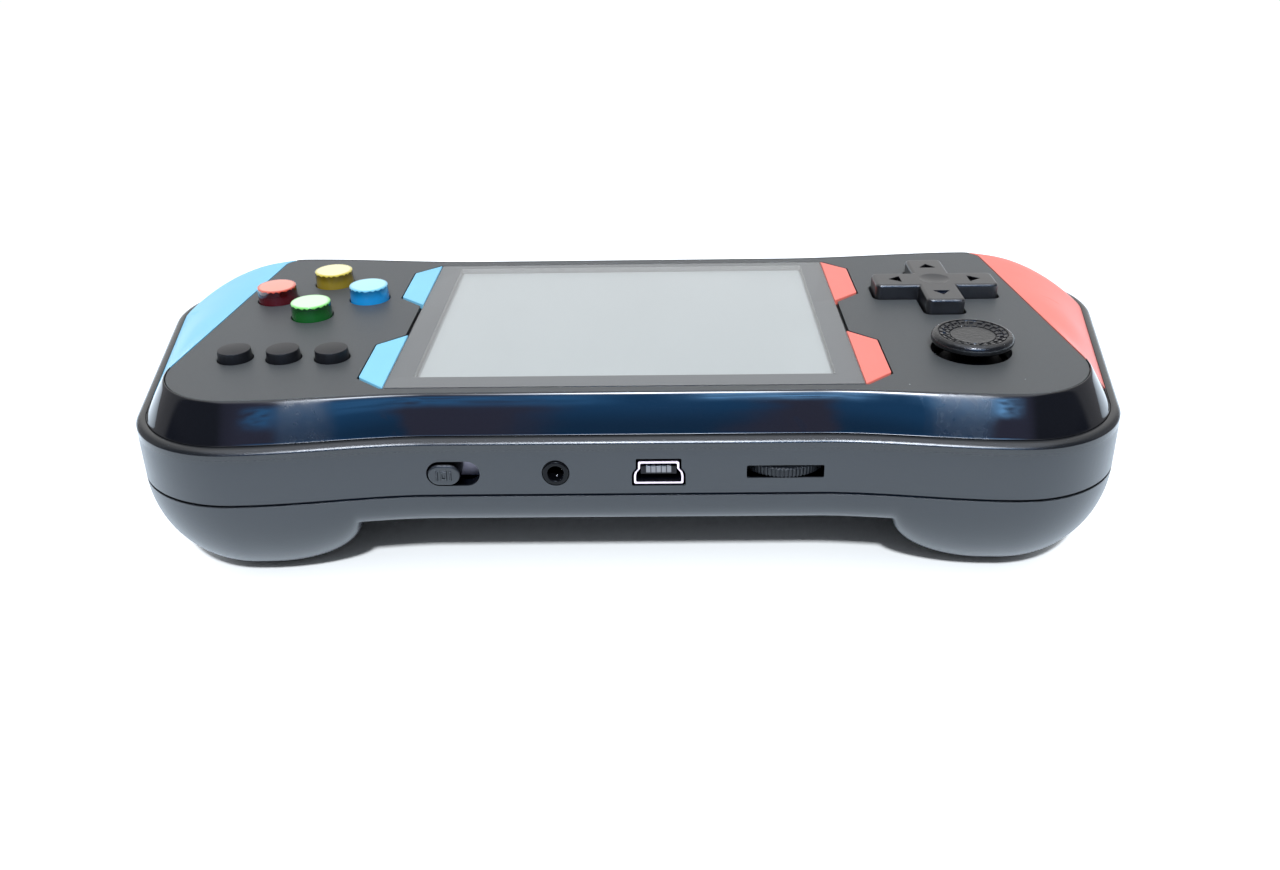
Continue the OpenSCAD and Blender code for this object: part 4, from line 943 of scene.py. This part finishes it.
# The arrows' pits are painted near black without gloss, as shade.
pad_black = moulded("pad_plastic", (0.011, 0.012, 0.015), 0.3, 0.4, 0.003, 0.04, {"Specular IOR Level": 0.8},
                    within=in_arrows, inner=(0.008, 0.008, 0.01, 1), dead=True)
dress(pad, "pad", "pad_black", pad_black, "d_pad")
dress(feet, "pad", "pad_black", pad_black)

# Stick
# A thumb stick in soft black plastic: a flat mushroom cap with a sunk ring of grip marks round a
# shallow dish, over a dust dome that closes its hole. It tilts on a gimbal ring with crossed pins.
stick_top, stick_r = extent("stick_cap")[1][2], size_of("stick_cap")[0] / 2
stick_under, z_gimbal, stem_r, dome_t, ring_h = z_top + 1.1, z_deck + 2.2, 1.5, 0.9, 1.2
dome_r = stick_under - 0.35 - z_gimbal
dish_in, dish_flat, dish_fall, mark_in, mark_out, mark_h = 6.1, 3.0, 0.5, 3.6, 5.6, 0.22
mark_n, mark_half, spoke_half, mark_margin, mark_w, pin_r, pin_half = 22, 0.38, 0.12, 0.2, 0.52, 0.5, 4.0
stick_steps = 30 * mark_n


def stick_marks(r, angle):
    """Height of the grip ring, -1 in its grooves and 0 on its marks.

    The ring is sunk between mark_in and mark_out. Two broken circles half a step apart, joined by short
    spokes, stand up in it.
    """
    step = angle * mark_n / (2 * math.pi)
    low, high = mark_in + mark_margin, mark_out - mark_margin
    bar = lambda phase, width: smoothstep((width - np.abs((step + phase) % 1 - 0.5)) / 0.06)
    band = lambda low, high: smoothstep((np.minimum(r - low, high - r) + 0.04) / 0.08)
    inner = bar(0.0, mark_half) * band(low, low + mark_w)
    outer = bar(0.5, mark_half) * band(high - mark_w, high)
    spoke = bar(0.26, spoke_half) * band(low, high)
    return np.maximum(np.maximum(inner, outer), spoke) - band(mark_in, mark_out)


def stick_form():
    """The stick turned round its axis: stem, dust dome inside and out, neck, half-round edge, dish with marks.

    The dish falls by dish_fall with a smoothstep from dish_in to dish_flat. The marks' grooves are mark_h
    deep.
    """
    start = math.asin(2 / dome_r)
    q = (stick_top - stick_under) / 2
    dome = lambda r, a: np.column_stack([r * np.cos(a), z_gimbal + r * np.sin(a)])
    edge = np.linspace(-math.pi / 2, math.pi / 2, 17)
    profile = np.vstack([
        [(0, z_gimbal - ring_h), (stem_r, z_gimbal - ring_h), (stem_r, z_gimbal + dome_r - dome_t - 0.7)],
        dome(dome_r - dome_t, np.linspace(math.radians(74), start, 13)),
        dome(dome_r, np.linspace(start, math.radians(72), 13)),
        [(2.2, stick_under + 0.3), (stick_r - 1.6, stick_under)],
        np.column_stack([stick_r - q + q * np.cos(edge), stick_under + q + q * np.sin(edge)])])
    inward = np.r_[np.linspace(stick_r - q, mark_out + 0.15, 6)[1:],
                   np.linspace(mark_out + 0.1, mark_in - 0.1, 40), np.linspace(mark_in - 0.15, 0, 10)]
    fall = dish_fall * (1 - smoothstep((inward - dish_flat) / (dish_in - dish_flat)))
    profile = np.vstack([profile, np.column_stack([inward, stick_top - fall])])
    points, faces = turned(profile, (0, 0), stick_steps)
    angle = np.arctan2(points[:, 1], points[:, 0])
    top = np.repeat(np.arange(len(profile)) >= len(profile) - len(inward), stick_steps)
    points[:, 2] += top * mark_h * stick_marks(np.hypot(points[:, 0], points[:, 1]), angle)
    return points + [*stick_c, 0], faces


stick = surface("stick_cap_form", stick_form())
pin = turned([(0, -pin_half), (pin_r, -pin_half), (pin_r, pin_half), (0, pin_half)], (0, 0), 24)
pin = surface("stick_pin", laid(pin, [*stick_c, z_gimbal]))


def stick_values(place):
    """Soft coating: leathery grain and dust on the cap; below its rim, on the dome and the pin, black without
    gloss is painted as shade.
    """
    cap = place.axes()[2] > (stick_under + 0.1) * MM
    slow, fine = place.noise(5, 3.0), place.noise(0.55, 3.0)
    speck = place.dots(1.6, 0.1, 0.08)
    body = slow.blend((0.004, 0.005, 0.006, 1), (0.009, 0.01, 0.013, 1))
    body = speck.blend(body, (0.4, 0.42, 0.45, 1))
    # Below the cap's rim: painted shade, black, with its gloss taken away by Metallic.
    return {"Base Color": cap.blend((0.003, 0.003, 0.004, 1), body), "Metallic": 1 - cap,
            "Roughness": 0.62 - cap * (0.42 - 0.08 * slow), "Normal": fine.bump(0.06)}


stick_black = finish("stick_coating", {}, stick_values)
dress(stick, "stick", "stick_black", stick_black, "stick_cap")
dress(pin, "stick", "stick_black", stick_black)

# Power switch
# A black slider knob that runs in a slot of the near face, with four ridges for the finger, on the
# metal body of a slide switch soldered to the board.
knob_l, knob_h = size_of("switch_knob")[[0, 2]] - 0.3
knob_back, knob_face, knob_edge = extent("switch_knob")[1][1], y_face - 0.5, 0.4
ridge_pitch, ridge_half, ridge_reach, ridge_h = 0.7, 0.24, np.array([1.4, 0.9]), 0.22


def knob_form():
    """Rings of the knob: a stadium outline carried out of the case, a rounded edge, then shrunk to the middle.

    The ridges are smoothstep bars across the face, fading towards its top and bottom.
    """
    loop = lambda inset: stadium(knob_l - 2 * inset, knob_h - 2 * inset, [0, 0], 41)
    a = np.linspace(0, math.pi / 2, 7)
    rows = [at(loop(0) * s, knob_back) for s in (0, 1)]
    rows += [at(loop(knob_edge * (1 - math.cos(t))), knob_face + knob_edge * (1 - math.sin(t))) for t in a]
    for s in np.linspace(1, 0, 40)[1:]:
        flat = loop(knob_edge) * s
        across, along = np.abs(flat).T
        bar = smoothstep((ridge_half - np.abs(flat[:, 0] / ridge_pitch % 1 - 0.5)) / 0.1)
        bar = bar * smoothstep((ridge_reach[1] - along) / 0.2) * (across < ridge_reach[0])
        rows.append(at(flat, knob_face - ridge_h * bar))
    return laid(grid(np.stack(rows)), [middle("switch_knob")[0], 0, port_z])


def on_knob_side(place):
    """1 on the knob's side, behind its rounded edge, which is painted black without gloss as shade."""
    return place.axes()[1] > (knob_face + 0.38) * MM


# The knob's side, in the gap of its slot, is painted black as shade.
knob_black = moulded("switch_plastic", (0.012, 0.015, 0.02), 0.36, 0.25, 0.006, within=on_knob_side,
                     inner=painted_shade_black, dead=True)
dress(surface("switch_knob_form", knob_form()), "power_knob", "switch_black", knob_black, "switch_knob")
coat("switch_body", brushed("switch_body_metal", (0.28, 0.26, 0.31), 0.42))

# Jack
# The round audio and video jack: a black moulded socket on the board. Its lip stands in the hole of
# the near face, and a sprung contact shows inside the bore.
bore_r, lip_r, lip_proud, lip_ease = 1.3 - 0.06, jack_r - 0.02, 0.12, 0.3
lip = eased([(bore_r, 9.0), (bore_r, -lip_proud), (lip_r, -lip_proud), (lip_r, 1.5)],
            [0, lip_ease, lip_ease, 0], 9, False)
lip = surface("jack_lip", laid(turned(lip, (0, 0), 64), [jack_x, y_face, port_z]))
jack_black = moulded("jack_plastic", (0.003, 0.0035, 0.005), 0.16, 0.3, 0.003,
                     constants={"Specular IOR Level": 0.12})
dress(lip, "case", "jack_black", jack_black)
spring_r, spring_in, spring_aside, spring_down = 0.26, 1.2, 0.12, 0.82
a = np.linspace(-math.pi / 2, math.pi / 2, 15)
spring = turned(np.column_stack([spring_r * np.cos(a), spring_in + 2 * spring_r * np.sin(a)]), (0, 0), 24)
spring = surface("jack_spring", laid(spring, [jack_x + spring_aside, y_face, port_z - spring_down]))
dress(spring, "case", "contact_brass", brushed("sprung_contact_metal", (0.75, 0.74, 0.76), 0.12))
coat("av_jack", jack_black)

# Data socket
# A mini socket folded from plated steel, with a rolled front edge, a black tongue inside and five
# plated contacts on the tongue.
usb_back, usb_t = extent("usb_shell")[1][1], 0.38
rows = [at(usb_loop(grow), y) for grow, y in (
    (0, usb_back), (0, y_face + 0.14), (-0.05, y_face + 0.04), (-usb_t / 2, y_face),
    (0.05 - usb_t, y_face + 0.04), (-usb_t, y_face + 0.14), (-usb_t, usb_back - 1),
    (-usb_t - 1.2, usb_back - 1), (-usb_t - 1.2, usb_back))]
socket = surface("data_socket_shell", laid(grid(np.stack(rows), wrap_rows=True)))


def socket_values(place):
    """Plated steel, bright on the rolled edge; inside, black and rough as painted shade."""
    inside = place.axes()[1] > (y_face + 0.13) * MM
    bright = place.noise(3, 3.0).blend((0.7, 0.56, 0.63, 1), (0.82, 0.67, 0.75, 1))
    # Inside the socket the steel is painted black as shade.
    return {"Base Color": inside.blend(bright, (0.02, 0.018, 0.022, 1)), "Roughness": 0.3 + 0.4 * inside,
            "Normal": place.noise(0.25, 2.0).bump(0.004)}


socket_steel = finish("plated_socket_steel", {"Metallic": 1.0}, socket_values)
dress(socket, "case", "usb_steel", socket_steel, "usb_shell")
tongue_low, tongue_high = port_z - 0.35, port_z + 0.95
tongue_w, tongue_front, contact_pitch, contact_w = 2.75, y_face + 0.35, 0.8, 0.66
tongue = oblong((-tongue_w, tongue_low), (tongue_w, tongue_high), 0.12) + [usb_x, 0]
tongue = surface("data_socket_tongue", laid(prism(tongue, tongue_front, usb_back - 1.2)))
hook_back, hook_out, hook_in = tongue_front + 4, tongue_front - 0.06, tongue_front + 0.1
hook_top, hook_under, hook_low = tongue_high + 0.1, tongue_high - 0.08, tongue_low + 0.25
contact = eased([(hook_back, hook_top), (hook_out, hook_top), (hook_out, hook_low), (hook_in, hook_low),
                 (hook_in, hook_under), (hook_back, hook_under)], [0.02, 0.2, 0.05, 0.02, 0.05, 0.02])
strips = [prism(contact, usb_x + i * contact_pitch - contact_w / 2, usb_x + i * contact_pitch + contact_w / 2)
          for i in range(-2, 3)]
contacts = surface("data_socket_contacts", *[(points[:, [2, 0, 1]], faces) for points, faces in strips])
block = surface("data_socket_block", laid(prism(usb_loop(-usb_t - 0.05), usb_back - 2.5, usb_back - 1.05)))
tongue_black = moulded("tongue_plastic", (0.006, 0.005, 0.007), 0.5, 0.3, 0.004,
                       constants={"Specular IOR Level": 0.2})
dress(tongue, "case", "usb_black", tongue_black, "usb_insert")
dress(block, "case", "usb_black", tongue_black)
contact_metal = brushed("plated_contact_metal", (0.21, 0.2, 0.205), 0.42)
dress(contacts, "case", "contact_brass", contact_metal, "usb_contacts")

# Volume wheel
# A thin black wheel with fine ribs round its edge, on the axle of a small potentiometer under the
# board. Only its near edge shows, in a slot of the near face.
wheel_c, wheel_r = middle("volume_wheel")[:2], size_of("volume_wheel")[0] / 2
wheel_ribs, rib_depth, rib_w, chamfer, axle_r = 72, 0.25, 0.8, 0.18, 1.1


def wheel_form():
    """The wheel's section carried round its axis.

    Its edge is cut by ribs: rib_depth times a softened square wave.
    """
    a = np.linspace(0, 2 * math.pi, wheel_ribs * 10, endpoint=False)
    wave = np.cos(wheel_ribs * a)
    rib = rib_depth * smoothstep(0.5 - 1.4 * wave)
    low, high = [corner[2] for corner in extent("volume_wheel")]
    flat, crest = wheel_r - rib_w, wheel_r - chamfer
    section = [(axle_r, low, 0), (flat, low, 0), (crest, low, 1), (wheel_r, low + chamfer, 1),
               (wheel_r, high - chamfer, 1), (crest, high, 1), (flat, high, 0), (axle_r, high, 0)]
    radius = np.stack([r - rib * ribbed for r, z, ribbed in section])
    height = np.array([z for r, z, ribbed in section])[:, None] + 0 * a
    points = np.stack([wheel_c[0] + radius * np.cos(a), wheel_c[1] + radius * np.sin(a), height], -1)
    return grid(points, wrap_rows=True)


wheel_black = moulded("wheel_plastic", (0.008, 0.01, 0.013), 0.5, 0.25, 0.006,
                      constants={"Specular IOR Level": 0.35})
dress(surface("volume_wheel_form", wheel_form()), "volume", "wheel_black", wheel_black, "volume_wheel")
coat("volume_pot", moulded("pot_resin", (0.12, 0.065, 0.03), 0.5, 0.4, 0.01))

# Inside
# What the case hides: the green circuit board, rubber membranes, the white pivots, a pouch battery,
# the speaker and six cross-head screws. They keep their solids and get their own finishes.


def board_values(place):
    """Lacquered board: bands of a stepped wave for tracks, dots for vias, over a mottled green."""
    track = place.node("ShaderNodeTexWave", {"bands_direction": "X", "wave_profile": "SAW"},
                       {"Vector": place, "Scale": 0.1 / MM, "Distortion": 3.0}, 1) > 0.7
    via = place.dots(3.0, 0.45, 0.4)
    green = place.noise(8, 2.0).blend((0.008, 0.09, 0.03, 1), (0.014, 0.13, 0.045, 1))
    green = track.blend(green, (0.02, 0.17, 0.06, 1))
    return {"Base Color": via.blend(green, (0.62, 0.55, 0.34, 1)), "Metallic": via,
            "Roughness": 0.35 - 0.1 * via, "Normal": (track + via).bump(0.04)}


coat("main_board", finish("board_lacquer", {}, board_values))
rubber = moulded("membrane_rubber", (0.5, 0.52, 0.53), 0.6, 0.5, 0.02)
for node in ("d_pad_membrane", "action_membrane", "key_membrane"):
    coat(node, rubber)
inner_white = moulded("inner_white_plastic", (0.68, 0.68, 0.65), 0.4, 0.4, 0.006)
for node in ("d_pad_pivot", "stick_gimbal"):
    coat(node, inner_white)
coat("stick_base", key_black)
coat("battery", finish("pouch_foil", {"Metallic": 0.8}, lambda place: {
    "Base Color": place.noise(6, 3.0).blend((0.4, 0.42, 0.44, 1), (0.56, 0.57, 0.59, 1)),
    "Roughness": 0.3 + 0.2 * place.noise(2, 3.0), "Normal": place.noise(3, 4.0).bump(0.1)}))
coat("speaker", moulded("speaker_paper", (0.05, 0.05, 0.055), 0.7, 0.3, 0.03))
coat("case_screws", brushed("zinc_screw_steel", (0.6, 0.61, 0.62), 0.25))

# Floor, light and camera
# A plain white paper floor, lit by one soft box high up in front and by a pale room, brighter overhead and
# behind. Only gloss mirrors the room's two cool panes and its key glow. The camera stands as the photo's did.
floor_half = 3000
edge = np.linspace(-1, 1, 41) * floor_half
x, y = np.meshgrid(edge, edge)
sweep = surface("floor_sweep", grid(np.dstack([x, y, np.zeros_like(x)]), wrap_columns=False))


def ray_kinds(value):
    """1 for what the camera sees straight, and 1 for what it sees mirrored in gloss or through glass."""
    kinds = ("Is Camera Ray", "Is Glossy Ray", "Is Transmission Ray", "Diffuse Depth")
    camera, gloss, glass, scattered = [value.node("ShaderNodeLightPath", {}, {}, kind) for kind in kinds]
    return camera, value.math("MINIMUM", gloss + glass, 1.0) * (scattered < 0.5)


def floor_values(place):
    """Paper: a faint mottle in what lights the object; bright white seen straight or in gloss and glass."""
    camera_ray, mirrored = ray_kinds(place)
    paper = place.noise(60, 2.0).blend((0.9, 0.915, 0.925, 1), (0.92, 0.935, 0.94, 1))
    return {"Base Color": camera_ray.blend(mirrored.blend(paper, (1.74, 1.94, 2.14, 1)), (1.36, 1.4, 1.44, 1))}


sweep.data.materials.append(finish("floor_paper", {"Specular IOR Level": 0.0, "Roughness": 1.0}, floor_values))
if sweep.data.polygons[0].normal.z < 0:
    sweep.data.flip_normals()

world = bpy.data.worlds.new("pale_room")
bpy.context.scene.world = world
world.use_nodes = True
background = world.node_tree.nodes["Background"]
sky = Value(world.node_tree, world.node_tree.nodes.new("ShaderNodeTexCoord").outputs["Generated"])
aside, toward, up = sky.axes()
patch = sky.node("ShaderNodeTexNoise", {}, {"Vector": sky, "Scale": 5.0, "Detail": 2.0})
mottle = sky.node("ShaderNodeTexNoise", {}, {"Vector": sky, "Scale": 26.0, "Detail": 3.0})
key_way, key_spread = (0.0, -0.5, 0.866), 0.005
off_key = sky.node("ShaderNodeVectorMath", {"operation": "DOT_PRODUCT"}, {0: sky, 1: key_way}, 1) - 1.0
halo = sky.math("EXPONENT", off_key / key_spread, 0.0)
spread, off_middle = abs(aside), abs(aside + 0.02 + 0.12 * (patch - 0.5))
pane = ramp(up, 0.57, 0.64) * ramp(up, 0.86, 0.74) * ramp(aside, 0.01, 0.05) * ramp(aside, 0.3, 0.17)
second = ramp(up, 0.52, 0.6) * ramp(up, 0.77, 0.67) * ramp(aside, -0.3, -0.2) * ramp(aside, -0.02, -0.08)
navy = ramp(up, 0.38, 0.56).blend((0.035, 0.38, 1.0, 1), (0.09, 0.76, 2.0, 1))
before = ramp(off_middle, 0.12, 0.06).blend((0.4, 0.4, 0.68, 1), navy)
before = ramp(spread, 0.24, 0.45).blend(before, (0.1, 0.1, 0.12, 1))
before = ramp(up, 0.22, 0.32).blend((0.06, 0.06, 0.08, 1), before)
before = (pane * ramp(mottle, 0.2, 0.75)).blend(before, (3.0, 7.5, 14.0, 1))
before = (second * ramp(mottle, 0.25, 0.6)).blend(before, (0.4, 1.8, 4.2, 1))
white = (ramp(spread, 0.5, 0.8) * ramp(up, 0.9, 0.65)).blend((1.0, 1.0, 1.0, 1), (0.4, 0.4, 0.42, 1))
seen = ramp(toward, -0.08, 0.08).blend(before, white)
seen = ramp(up, 0.8, 0.95).blend(seen, (2.1, 2.2, 2.4, 1))
seen = halo.blend(seen, (75.0, 80.0, 88.0, 1))
overhead = ramp(up, 0.05, 0.5) * (1 - ramp(toward, 0.1, -0.5) * ramp(up, 0.75, 0.35))
light = overhead.blend((0.05, 0.052, 0.056, 1), (0.72, 0.74, 0.77, 1))
camera_ray, mirrored = ray_kinds(sky)
room = camera_ray.blend(mirrored.blend(light, seen), (1, 1, 1, 1))
world.node_tree.links.new(room.socket, background.inputs["Color"])


def aim(holder, place, right, above, back):
    """Stands a lamp or camera at a place in millimetres, with its axes turned to right, above and back."""
    turn = Matrix(np.column_stack([right, above, back]).tolist()).to_4x4()
    holder.matrix_world = Matrix.Translation(np.array(place) * MM) @ turn


box_place, box_w, box_h, box_glow = np.array([20.0, -980.0, 1014.0]), 100, 85, 573.0
lamp = bpy.data.lights.new("front_box", "AREA")
lamp.shape, lamp.size, lamp.size_y = "RECTANGLE", box_w * MM, box_h * MM
lamp.energy, lamp.color = box_glow * math.pi * box_w * box_h * MM ** 2, (0.97, 0.99, 1.0)
front_box = placed("front_box", lamp)
front_box.visible_glossy = False
back = box_place / np.linalg.norm(box_place)
right = np.cross((0, 1, 0.001), back)
right /= np.linalg.norm(right)
aim(front_box, box_place, right, np.cross(back, right), back)

stand = np.array([5.989, -197.312, 108.316])
pitch, yaw, roll = 0.468134274, -0.0209866, -0.0178375
ahead = np.array([math.sin(yaw) * math.cos(pitch), math.cos(yaw) * math.cos(pitch), -math.sin(pitch)])
right = np.array([math.cos(yaw), -math.sin(yaw), 0.0])
above = np.cross(right, ahead)
right, above = (math.cos(roll) * right + math.sin(roll) * above,
                math.cos(roll) * above - math.sin(roll) * right)
view = bpy.data.cameras.new("photo_view")
view.sensor_fit, view.sensor_width, view.lens = "HORIZONTAL", 36.0, 33.312
view.clip_start, view.clip_end = 0.01, 100.0
camera = placed("photo_view", view)
aim(camera, stand, right, above, -ahead)
bpy.context.scene.camera = camera
bpy.context.scene.view_settings.view_transform = "Standard"
